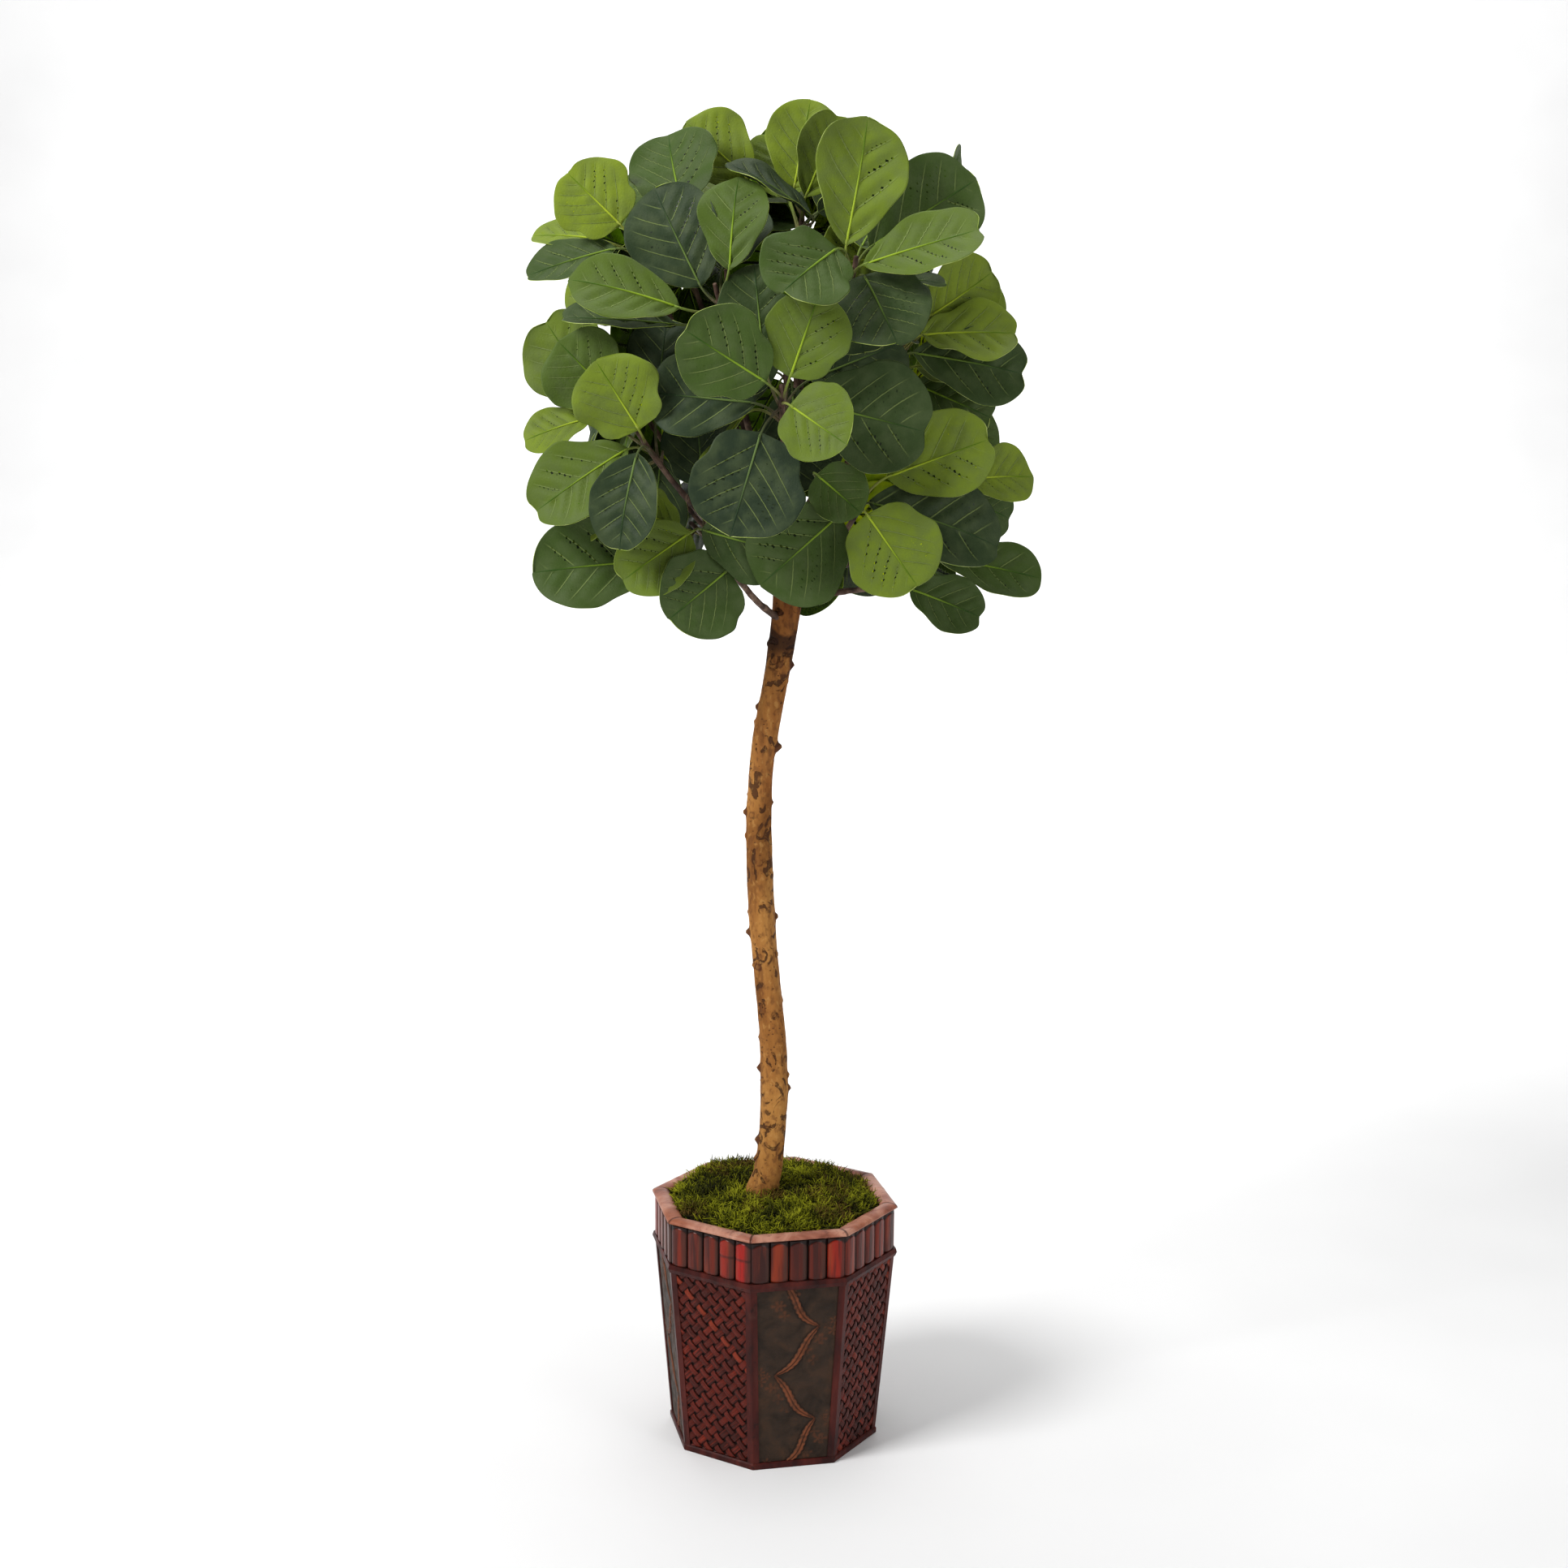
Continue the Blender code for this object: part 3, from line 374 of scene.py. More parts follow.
def tries():
    """Small changes to a leaf, the least first: lean, depth, roll, bearing and size."""
    leans, depths = (0, 5, -5, 10, -10, 16, -16, 24, -24), (0, 1, -1, 2, -2)
    options = product(leans, depths, (0, 12, -12, 25), (0, 8, -8), (1, 0.92, 0.84))

    def effort(option):
        lean, depth, roll, bearing, size = option
        return abs(lean) / 5 + abs(depth) * 1.2 + abs(roll) / 8 + abs(bearing) / 5 + (1 - size) * 22

    return sorted(options, key=effort)


def tree_of(body):
    points, faces = body
    return BVHTree.FromPolygons([tuple(p) for p in points], faces)


def settled_leaves(sprays):
    """Leaves as (spray name, start, foot, axes, length, width, tone), eased until they clear each other."""
    stems = {name: tree_of(tube(line, stem_radii(len(line)))) for name, _, line, _ in sprays}
    stems["trunk"] = tree_of(trunk_body(0.002))
    options = tries()
    placed = []
    for name, facing, line, leaves in sprays:
        front = spray_frame(facing)[2]
        for number, (x, y, z, bearing, lean, roll, length, width, tone) in enumerate(leaves):
            own_foot = Vector((x, y, z)) * CM
            start = stalk_start(line, number, len(leaves))
            for more_lean, shift, more_roll, more_bearing, size in options:
                foot = own_foot + front * (shift * CM)
                axes = leaf_axes(facing, foot, bearing + more_bearing, lean + more_lean, roll + more_roll)
                size_m = (length * size * CM, width * size * CM)
                blade_tree = tree_of(blade_body(foot, axes, *size_m, CLEAR_THICK))
                stalk_tree = tree_of(stalk_body(start, foot, axes))
                middle, reach = foot + axes[0] * (size_m[0] / 2), size_m[0] * 0.62 + 0.02
                if any(
                    blade_tree.overlap(stem) or (other != name and stalk_tree.overlap(stem))
                    for other, stem in stems.items()
                ):
                    continue
                if any(
                    (middle - far).length < reach + far_reach
                    and (
                        blade_tree.overlap(far_blade)
                        or (other != name and blade_tree.overlap(far_stalk))
                        or (other != name and stalk_tree.overlap(far_blade))
                        or (other != name and stalk_tree.overlap(far_stalk))
                    )
                    for other, far, far_reach, far_stalk, far_blade in (p[0] for p in placed)
                ):
                    continue
                leaf = (name, start, foot, axes, *size_m, tone)
                placed.append(((name, middle, reach, stalk_tree, blade_tree), leaf))
                break
    return [leaf for _, leaf in placed]


# ---------------------------------------------------------------- mesh and material tools

class Shell:
    """Collects the points and faces of one piece, with a material number per face and marks per point."""

    def __init__(self, *marks):
        self.points, self.faces, self.kinds = [], [], []
        self.marks = {mark: [] for mark in marks}
        self.count = 0

    def add(self, points, faces, kind=0, **marks):
        points = np.asarray([tuple(p) for p in points], dtype=float)
        self.points.append(points)
        self.faces.extend(tuple(i + self.count for i in face) for face in faces)
        self.kinds.extend([kind] * len(faces))
        for mark, values in self.marks.items():
            values.append(np.broadcast_to(marks.get(mark, 0.0), (len(points),)).astype(float))
        self.count += len(points)

    def build(self, name, materials, turn=0.0):
        """The piece as an object that rides on the part's one body."""
        points = np.concatenate(self.points)
        c, s = cos(turn), sin(turn)
        points = points @ np.array(((c, s, 0), (-s, c, 0), (0, 0, 1)))
        mesh = bpy.data.meshes.new(name)
        mesh.from_pydata(points.tolist(), [], self.faces)
        for material in materials:
            mesh.materials.append(material)
        mesh.polygons.foreach_set("material_index", self.kinds)
        mesh.polygons.foreach_set("use_smooth", [True] * len(self.faces))
        for mark, values in self.marks.items():
            layer = mesh.attributes.new(mark, "FLOAT", "POINT")
            layer.data.foreach_set("value", np.concatenate(values))
        mesh.validate()
        piece = bpy.data.objects.new(name, mesh)
        bpy.context.scene.collection.objects.link(piece)
        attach(piece, "root")
        return piece


def grid_faces(rows, columns, closed=False, start=0, flip=False):
    """Quads of a grid of points, row after row; closed joins the last column to the first."""
    faces = []
    for i in range(rows - 1):
        for j in range(columns - (not closed)):
            k = (j + 1) % columns
            quad = (
                start + i * columns + j, start + i * columns + k,
                start + (i + 1) * columns + k, start + (i + 1) * columns + j,
            )
            faces.append(quad[::-1] if flip else quad)
    return faces


def capped_tube(rows, sides):
    """Faces of a tube of rings, closed at both ends."""
    last = (rows - 1) * sides
    ends = [tuple(range(sides - 1, -1, -1)), tuple(range(last, last + sides))]
    return grid_faces(rows, sides, closed=True) + ends


def rod(line, radii, sides=8, wobble=0.0, seed=0):
    """A round rod along a line, closed at both ends, with a slightly uneven skin."""
    points = []
    across = None
    for i, place in enumerate(line):
        way = (line[min(i + 1, len(line) - 1)] - line[max(i - 1, 0)]).normalized()
        across = way.orthogonal() if across is None else across - way * across.dot(way)
        across.normalize()
        other = way.cross(across)
        for k in range(sides):
            out = across * cos(2 * pi * k / sides) + other * sin(2 * pi * k / sides)
            bump = noise.noise((place + out * 0.01) * 180 + Vector((seed, 0, 0))) * wobble
            points.append(place + out * radii[i] * (1 + bump))
    return points, capped_tube(len(line), sides)


def curve_through(line, count):
    """Points read from a smooth curve through a few points."""
    found = []
    last = len(line) - 1
    for step in range(count):
        t = step / (count - 1) * last
        i = min(int(t), last - 1)
        t -= i
        a, b, c, d = line[max(i - 1, 0)], line[i], line[i + 1], line[min(i + 2, last)]
        curve = b * 2 + (c - a) * t + (a * 2 - b * 5 + c * 4 - d) * t**2 + (b * 3 - a - c * 3 + d) * t**3
        found.append(curve * 0.5)
    return found


def border(rows, columns):
    """The points round the edge of a grid, in order."""
    size = rows * columns
    loop = list(range(columns)) + [i * columns + columns - 1 for i in range(1, rows)]
    loop += [size - columns + j for j in range(columns - 2, -1, -1)]
    return loop + [i * columns for i in range(rows - 2, 0, -1)]


def slab_faces(rows, columns, flip=False):
    """Faces of a thin slab made of two equal grids of points: its front, its back and its rim."""
    size = rows * columns
    front = grid_faces(rows, columns, flip=flip)
    back = grid_faces(rows, columns, start=size, flip=not flip)
    loop = border(rows, columns)
    rim = [(b, a, a + size, b + size) for a, b in zip(loop, loop[1:] + loop[:1])]
    return front, back, [face[::-1] for face in rim] if flip else rim


def smoothstep(low, high, values):
    t = np.clip((values - low) / (high - low), 0.0, 1.0)
    return t * t * (3 - 2 * t)


def tint(red, green, blue):
    """A colour given on the 0 to 255 scale of a colour picker, as linear light."""
    levels = (red / 255, green / 255, blue / 255)
    return tuple(v / 12.92 if v <= 0.04045 else ((v + 0.055) / 1.055) ** 2.4 for v in levels)


class Finish:
    """One procedural material. A number or a socket can be given wherever a node takes a value."""

    def __init__(self, name, specular=0.5, coat=0.0, coat_roughness=0.2):
        self.material = bpy.data.materials.new(name)
        self.material.use_nodes = True
        self.tree = self.material.node_tree
        self.shader = self.tree.nodes["Principled BSDF"]
        self.shader.inputs["Specular IOR Level"].default_value = specular
        self.shader.inputs["Coat Weight"].default_value = coat
        self.shader.inputs["Coat Roughness"].default_value = coat_roughness
        self.place = self.tree.nodes.new("ShaderNodeTexCoord").outputs["Object"]

    def put(self, socket, value):
        if isinstance(value, bpy.types.NodeSocket):
            self.tree.links.new(value, socket)
        elif socket.type == "RGBA":
            socket.default_value = (*value, 1.0)
        else:
            socket.default_value = value

    def math(self, operation, *values, clamp=False):
        node = self.tree.nodes.new("ShaderNodeMath")
        node.operation = operation
        node.use_clamp = clamp
        for socket, value in zip(node.inputs, values):
            self.put(socket, value)
        return node.outputs[0]

    def times(self, first, second):
        return self.math("MULTIPLY", first, second)

    def centred(self, value):
        """How far a value is from the nearest whole number, -0.5 to 0.5."""
        return self.math("SUBTRACT", self.math("FRACT", self.math("ADD", value, 0.5)), 0.5)

    def span(self, value, low, high, to_low=0.0, to_high=1.0):
        """Smoothly maps a range of values to another."""
        node = self.tree.nodes.new("ShaderNodeMapRange")
        node.interpolation_type = "SMOOTHSTEP"
        for socket, given in zip(node.inputs, (value, low, high, to_low, to_high)):
            self.put(socket, given)
        return node.outputs[0]

    def stretched(self, stretch, place=None):
        node = self.tree.nodes.new("ShaderNodeMapping")
        self.put(node.inputs["Vector"], place or self.place)
        node.inputs["Scale"].default_value = stretch
        return node.outputs[0]

    def along(self, *marks):
        """A place made of three marks, so that grain can follow a piece."""
        node = self.tree.nodes.new("ShaderNodeCombineXYZ")
        for socket, given in zip(node.inputs, marks):
            self.put(socket, self.mark(given))
        return node.outputs[0]

    def noise(self, scale, detail=3.0, stretch=(1.0, 1.0, 1.0), distortion=0.0, place=None):
        node = self.tree.nodes.new("ShaderNodeTexNoise")
        self.put(node.inputs["Vector"], self.stretched(stretch, place))
        node.inputs["Scale"].default_value = scale
        node.inputs["Detail"].default_value = detail
        node.inputs["Distortion"].default_value = distortion
        return node.outputs["Fac"]

    def cells(self, scale, feature="F1", stretch=(1.0, 1.0, 1.0)):
        node = self.tree.nodes.new("ShaderNodeTexVoronoi")
        node.feature = feature
        self.put(node.inputs["Vector"], self.stretched(stretch))
        node.inputs["Scale"].default_value = scale
        return node.outputs["Distance"]

    def mark(self, name):
        node = self.tree.nodes.new("ShaderNodeAttribute")
        node.attribute_name = name
        return node.outputs["Fac"]

    def height(self):
        """Height above the floor, in metres."""
        node = self.tree.nodes.new("ShaderNodeSeparateXYZ")
        self.put(node.inputs[0], self.place)
        return node.outputs["Z"]

    def ramp(self, value, *stops):
        node = self.tree.nodes.new("ShaderNodeValToRGB")
        self.put(node.inputs[0], value)
        elements = node.color_ramp.elements
        while len(elements) < len(stops):
            elements.new(0.5)
        for element, (position, colour) in zip(elements, stops):
            element.position = position
            element.color = (*colour, 1.0)
        return node.outputs["Color"]

    def mix(self, factor, first, second, blend="MIX"):
        node = self.tree.nodes.new("ShaderNodeMix")
        node.data_type = "RGBA"
        node.blend_type = blend
        self.put(node.inputs[0], factor)
        self.put(node.inputs[6], first)
        self.put(node.inputs[7], second)
        return node.outputs[2]

    def wash(self, colour, value, low, high, amount, over):
        """A second colour laid over the first, up to an amount, where a value rises from low to high."""
        return self.mix(self.span(value, low, high, 0.0, amount), colour, over)

    def bump(self, height, distance, under=None):
        node = self.tree.nodes.new("ShaderNodeBump")
        node.inputs["Distance"].default_value = distance
        self.put(node.inputs["Height"], height)
        if under:
            self.put(node.inputs["Normal"], under)
        return node.outputs["Normal"]

    def finish(self, colour, roughness, normal=None):
        self.put(self.shader.inputs["Base Color"], colour)
        self.put(self.shader.inputs["Roughness"], roughness)
        if normal is not None:
            self.put(self.shader.inputs["Normal"], normal)
        return self.material


# ---------------------------------------------------------------- leaves

VEIN_START, VEIN_STEP = 0.09, 0.192  # where side veins leave the midrib, as shares of the leaf's length
VEIN_RISE, VEIN_CURVE = 0.80, 0.55  # how they climb towards the tip on their way to the edge
LEAF_ROWS = 38
LEAF_HALF_COLUMNS = (0.0, 0.03, 0.075, 0.15, 0.25, 0.36, 0.48, 0.60, 0.71, 0.81, 0.90, 0.96, 1.0)
LEAF_SKIN = 0.0007  # thickness of a blade
BOX_MARGIN = 0.0018  # how far leaves are kept inside the tree's overall size
OLD_LEAF_TONE = 0.28  # darker leaves than this are glossy
VEIN_STAGGER = 0.25  # how far one side's veins are ahead of the other's
RIB_SIDES, STALK_SIDES, STEM_SIDES, STEM_POINTS = 6, 8, 12, 36


def outline(u, base_power, tip_power, waist):
    """Half-width of a leaf along its length, 1 at its widest."""
    peak = base_power / (base_power + tip_power)
    top = peak**base_power * (1 - peak) ** tip_power
    body = u**base_power * (1 - u) ** tip_power / top
    body *= 1 - waist * np.exp(-(((u - 0.30) / 0.14) ** 2))
    return np.maximum(body, 0.035)


def leaf_sheet(foot, axes, length, width, chance):
    """Upper face of one leaf as a grid of points, with its marks."""
    point, side, face = (np.array(axis) for axis in axes)
    t = np.linspace(0, 1, LEAF_ROWS)
    u = 1 - (1 - t) ** 1.6
    half_columns = np.array(LEAF_HALF_COLUMNS)
    v = np.concatenate((-half_columns[:0:-1], half_columns))
    u, v = np.meshgrid(u, v, indexing="ij")
    left = v < 0
    phase = chance.uniform(0, 2 * pi, 8)
    ripple = 0.016 * np.sin(10 * u + np.where(left, phase[0], phase[1]))
    ripple += 0.007 * np.sin(27 * u + np.where(left, phase[2], phase[3]))
    ripple = ripple * smoothstep(0.05, 0.35, u)
    lopsided = 1 + chance.uniform(-0.07, 0.07) * np.where(left, 1, -1)
    base_power = np.clip(1.22 - 0.70 * width / length + chance.uniform(-0.08, 0.08), 0.42, 0.86)
    half = outline(u, base_power, chance.uniform(0.40, 0.53), chance.uniform(0.0, 0.20))
    half = half * (1 + ripple) * lopsided * width / 2
    x = v * half
    reach = np.abs(x) / length
    vein = (u - VEIN_RISE * reach - VEIN_CURVE * reach**2 - VEIN_START) / VEIN_STEP
    vein += np.where(left, 0.0, VEIN_STAGGER)
    vein += 0.16 * np.sin(5 * u + np.where(left, phase[6], phase[7]))
    strength = smoothstep(0.02, 0.10, np.abs(v)) * (1 - smoothstep(0.58, 0.86, np.abs(v)))
    strength *= smoothstep(-0.45, -0.1, vein) * (1 - smoothstep(0.78, 0.95, u))
    notch = chance.choice((-0.03, 0.0, 0.03, 0.055))
    lobe = 1 - np.exp(-((x / (0.12 * width)) ** 2))
    y = length * (u * (1 - max(notch, 0)) + notch * lobe * u**9)
    fold = chance.uniform(0.45, 1.35)
    z = BLADE_CUP * fold * half * np.abs(v) ** 1.35 - length * BLADE_BEND * u**2
    z += length * chance.uniform(-0.07, 0.05) * u**3
    z -= 0.0013 * np.exp(-((v / 0.07) ** 2)) * (1 - u)
    quilt = 0.0030 * length / 0.12
    z -= quilt * (0.5 + 0.5 * np.cos(2 * pi * (vein - 0.04))) ** 2.2 * strength
    wave = chance.uniform(0.012, 0.040) * width
    edge_wave = np.sin(11 * u + np.where(left, phase[4], phase[5])) * smoothstep(0, 0.25, u)
    z += wave * np.abs(v) ** 2.5 * edge_wave
    twist = chance.uniform(-0.22, 0.22) * u
    x, z = x * np.cos(twist) - z * np.sin(twist), x * np.sin(twist) + z * np.cos(twist)
    points = np.array(foot) + y[..., None] * point + x[..., None] * side + z[..., None] * face
    return points, {"along": u, "edge": np.abs(v), "vein": vein, "veined": strength, "rib": v * half * 1000}


def shift_inside(points):
    """The move that brings a leaf inside the tree's overall size, in the tree's own frame."""
    turn = np.array(Matrix.Rotation(TREE_TURN, 3, "Z"))
    placed = points.reshape(-1, 3) @ turn.T
    low = np.array(CAD_BOX[0]) + BOX_MARGIN - placed.min(axis=0)
    high = np.array(CAD_BOX[1]) - BOX_MARGIN - placed.max(axis=0)
    return (np.maximum(low, 0) + np.minimum(high, 0)) @ turn


def add_leaf(shell, leaf, chance):
    """A leaf blade with an upper face, an underside, a rim and a raised midrib. Returns its foot."""
    _, _, foot, axes, length, width, tone = leaf
    points, marks = leaf_sheet(foot, axes, length, width, chance)
    move = shift_inside(points)
    points = points + move
    rows, columns = points.shape[:2]
    across = points[:, 1:] - points[:, :-1]
    across = np.concatenate((across, across[:, -1:]), axis=1)
    along = points[1:] - points[:-1]
    along = np.concatenate((along, along[-1:]), axis=0)
    normal = np.cross(across, along)
    normal /= np.maximum(np.linalg.norm(normal, axis=2, keepdims=True), 1e-9)
    under = points - normal * LEAF_SKIN
    both = {mark: np.tile(value.reshape(-1), 2) for mark, value in marks.items()}
    shade = chance.uniform(0, 1)
    top, rest, rim = slab_faces(rows, columns)
    skin = np.concatenate((points.reshape(-1, 3), under.reshape(-1, 3)))
    shell.add(skin, top + rest + rim, tone=tone, shade=shade, **both)
    upper = 4 if tone < OLD_LEAF_TONE else 0
    kinds = [upper] * len(top) + [1] * len(rest) + [2] * len(rim)
    shell.kinds[-len(kinds):] = kinds
    middle = columns // 2
    rib = [Vector(points[i, middle]) for i in range(0, rows, 2)]
    ups = [Vector(normal[i, middle]) for i in range(0, rows, 2)]
    share = np.linspace(0, 1, len(rib))
    radii = 0.00120 * (1 - share) ** 0.8 + 0.00018
    line = [p - n * (r * 0.72 + LEAF_SKIN * 0.3) for p, n, r in zip(rib, ups, radii)]
    ribbed = np.repeat(share, RIB_SIDES)
    shell.add(*rod(line, radii, RIB_SIDES), kind=3, tone=tone, shade=shade, along=ribbed)
    return foot + Vector(move)


def leaf_face_finish(settings, name, gloss, roughness):
    made = Finish(name, specular=gloss)
    tone, along, edge = made.mark("tone"), made.mark("along"), made.mark("edge")
    shade = made.mark("shade")
    value = made.math("ADD", tone, made.span(made.noise(30, 4), 0.3, 0.7, -0.10, 0.10))
    value = made.math("ADD", value, made.times(made.math("SUBTRACT", shade, 0.5), 0.10))
    value = made.math("ADD", value, made.span(edge, 0.0, 0.45, 0.06, 0.0))
    value = made.math("ADD", value, made.span(edge, 0.7, 1.0, 0.0, 0.05), clamp=True)
    blade = made.ramp(
        value, (0.0, settings.leaf_deep), (0.34, settings.leaf_olive), (0.66, settings.leaf_bright),
        (1.0, settings.leaf_lime),
    )
    net = made.span(made.cells(230, "DISTANCE_TO_EDGE"), 0.0, 0.12, 0.09, 0.0)
    blade = made.mix(net, blade, settings.leaf_vein)
    vein, veined = made.mark("vein"), made.mark("veined")
    offset = made.centred(vein)
    # The dark lines beside the side veins are painted shade in their sunken grooves.
    thin = made.span(edge, 0.05, 0.85, 0.150, 0.065)
    beside = made.math("DIVIDE", made.math("ABSOLUTE", made.math("SUBTRACT", offset, 0.10)), thin)
    dark = made.times(made.span(beside, 0.75, 1.35, 1.0, 0.0), veined)
    pale = made.times(made.span(made.math("ABSOLUTE", offset), 0.010, 0.026, 1.0, 0.0), veined)
    rib = made.mark("rib")
    near_rib = made.span(made.math("ABSOLUTE", rib), 0.30, 0.75, 1.0, 0.0)
    rib_pale = made.times(near_rib, made.span(along, 0.30, 0.62, 1.0, 0.05))
    # Beside the midrib's pale foot the dark line is painted shade in its groove; higher up it is the midrib's
    # own darker green.
    rib_beside = made.math("ABSOLUTE", made.math("SUBTRACT", rib, made.span(along, 0.35, 0.65, 1.5, 0.2)))
    rib_dark = made.times(made.span(rib_beside, 0.55, 1.25, 1.0, 0.0), made.span(along, 0.80, 0.97, 1.0, 0.0))
    dark = made.math("MAXIMUM", dark, rib_dark)
    dark_amount = made.times(dark, made.span(tone, 0.05, 0.40, 0.60, 1.0))
    pale_amount = made.times(pale, made.span(tone, 0.20, 0.60, 0.50, 0.15))
    pale_amount = made.math("MAXIMUM", pale_amount, made.times(rib_pale, 0.55))
    colour = made.mix(dark_amount, blade, settings.leaf_groove_shade_and_dark_rib)
    colour = made.mix(pale_amount, colour, settings.leaf_vein)
    colour = made.wash(colour, edge, 0.972, 0.995, 0.70, settings.leaf_vein)
    relief = made.math("SUBTRACT", made.times(pale, 0.4), dark)
    normal = made.bump(relief, 0.0007)
    normal = made.bump(made.noise(85, 3), 0.0006, normal)
    normal = made.bump(made.cells(230, "DISTANCE_TO_EDGE"), 0.00025, normal)
    rough = made.span(made.noise(60, 2), 0.3, 0.7, roughness - 0.05, roughness + 0.09)
    return made.finish(colour, rough, normal)


def leaf_back_finish():
    made = Finish("leaf_underside", specular=0.10)
    tone = made.mark("tone")
    blade = made.ramp(tone, (0.0, tint(38, 50, 36)), (0.5, tint(66, 86, 34)), (1.0, tint(122, 140, 40)))
    blade = made.wash(blade, made.noise(50, 4), 0.35, 0.7, 0.35, tint(84, 96, 62))
    vein, veined = made.mark("vein"), made.mark("veined")
    offset = made.centred(vein)
    ridge = made.times(made.span(made.math("ABSOLUTE", offset), 0.02, 0.06, 1.0, 0.0), veined)
    colour = made.mix(made.times(ridge, 0.6), blade, tint(126, 142, 82))
    normal = made.bump(ridge, 0.0008)
    normal = made.bump(made.cells(300, "DISTANCE_TO_EDGE"), 0.0003, normal)
    return made.finish(colour, 0.52, normal)


def leaf_rim_finish(settings):
    made = Finish("leaf_rim")
    colour = made.mix(made.span(made.noise(70, 2), 0.35, 0.65), settings.leaf_vein, tint(176, 190, 104))
    return made.finish(colour, 0.5, made.bump(made.noise(400, 2), 0.0002))


def leaf_rib_finish():
    made = Finish("leaf_midrib", specular=0.1)
    along, tone = made.mark("along"), made.mark("tone")
    pale = made.ramp(tone, (0.0, tint(92, 112, 62)), (0.5, tint(130, 160, 40)), (1.0, tint(170, 186, 52)))
    green = made.ramp(tone, (0.0, tint(34, 52, 34)), (0.5, tint(48, 80, 20)), (1.0, tint(96, 124, 20)))
    colour = made.mix(made.span(along, 0.12, 0.7), pale, green)
    return made.finish(colour, 0.45, made.bump(made.noise(220, 2), 0.0003))


def stem_finish():
    made = Finish("stem", specular=0.3)
    brown = made.ramp(
        made.noise(75, 6, (1, 1, 0.6), 0.5), (0.30, tint(38, 24, 18)), (0.5, tint(84, 62, 50)),
        (0.62, tint(122, 98, 82)), (0.75, tint(58, 40, 32)),
    )
    green = made.ramp(
        made.mark("tone"), (0.0, tint(70, 84, 44)), (0.6, tint(112, 136, 44)), (1.0, tint(150, 160, 56)),
    )
    colour = made.mix(made.mark("along"), brown, green)
    normal = made.bump(made.noise(210, 5, (1, 1, 0.7)), 0.0012)
    return made.finish(colour, made.span(made.noise(120, 3), 0.3, 0.7, 0.55, 0.85), normal)


def stalk_line(start, foot, axes):
    """A leaf's stalk: it leaves the stem and swings round to meet the midrib."""
    distance = (foot - start).length
    bend = foot - axes[0] * (0.42 * distance)
    into = foot + axes[0] * 0.006
    return [start.lerp(bend, k / 8).lerp(bend.lerp(into, k / 8), k / 8) for k in range(9)]


def add_stem(shell, line, facing, chance):
    """A spray's woody stem, from inside the trunk to a bud past its leaves."""
    start, way = line[0], (line[0] - line[1])
    way.z *= 0.4
    inside = start + way.normalized() * 0.012
    tip = line[-1] + (line[-1] - line[-2]).normalized() * 0.010
    path = curve_through([inside, *line, tip], STEM_POINTS)
    radii = []
    for k in range(STEM_POINTS):
        t = k / (STEM_POINTS - 1)
        node = 0.16 * max(0.0, sin(t * 34 + facing)) ** 6
        swell = 0.0012 * np.exp(-(t / 0.10) ** 2)
        radii.append((0.0043 - 0.0017 * t) * (1 + node) + swell)
    radii[-1] = 0.0010
    radii[-2] = 0.0022
    shell.add(*rod(path, radii, STEM_SIDES, 0.22, facing), tone=0.2, shade=chance.uniform(0, 1))


def build_sprays(settings):
    """Every spray: its stem and stalks as one piece, and its leaf blades as another."""
    face = leaf_face_finish(settings, "leaf_face", settings.leaf_gloss, settings.leaf_roughness)
    glossy = leaf_face_finish(settings, "old_leaf_face", settings.old_leaf_gloss, settings.old_leaf_roughness)
    back = leaf_back_finish()
    rim, rib = leaf_rim_finish(settings), leaf_rib_finish()
    woody = stem_finish()
    sprays = all_sprays()
    leaves = settled_leaves(sprays)
    chance = np.random.default_rng(settings.seed)
    for name, facing, line, _ in sprays:
        own = [leaf for leaf in leaves if leaf[0] == name]
        blades = Shell("tone", "shade", "along", "edge", "vein", "veined", "rib")
        stems = Shell("tone", "shade", "along")
        add_stem(stems, line, facing, chance)
        for leaf in own:
            foot = add_leaf(blades, leaf, chance)
            _, start, _, axes, _, _, tone = leaf
            path = stalk_line(start, foot, axes)
            radii = [0.0021 - 0.0007 * min(1, k / 4) for k in range(len(path))]
            green = np.repeat(np.linspace(0.0, 1.0, len(path)) ** 0.8, STALK_SIDES)
            stems.add(*rod(path, radii, STALK_SIDES, 0.08), tone=tone, shade=0.5, along=green)
        piece = blades.build(f"leaves_{name}", (face, back, rim, rib, glossy), TREE_TURN)
        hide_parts(f"spray_{name}")
        twig = stems.build(f"stems_{name}", (woody,), TREE_TURN)
        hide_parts(f"spray_{name}")


# ---------------------------------------------------------------- trunk

TRUNK_ROWS, TRUNK_COLUMNS = 300, 56
TRUNK_LOW_CM = 24  # where the bark starts, under the moss
SCARS, SCAR_TURN = 64, 137.5  # scars follow one another by this turn, in degrees


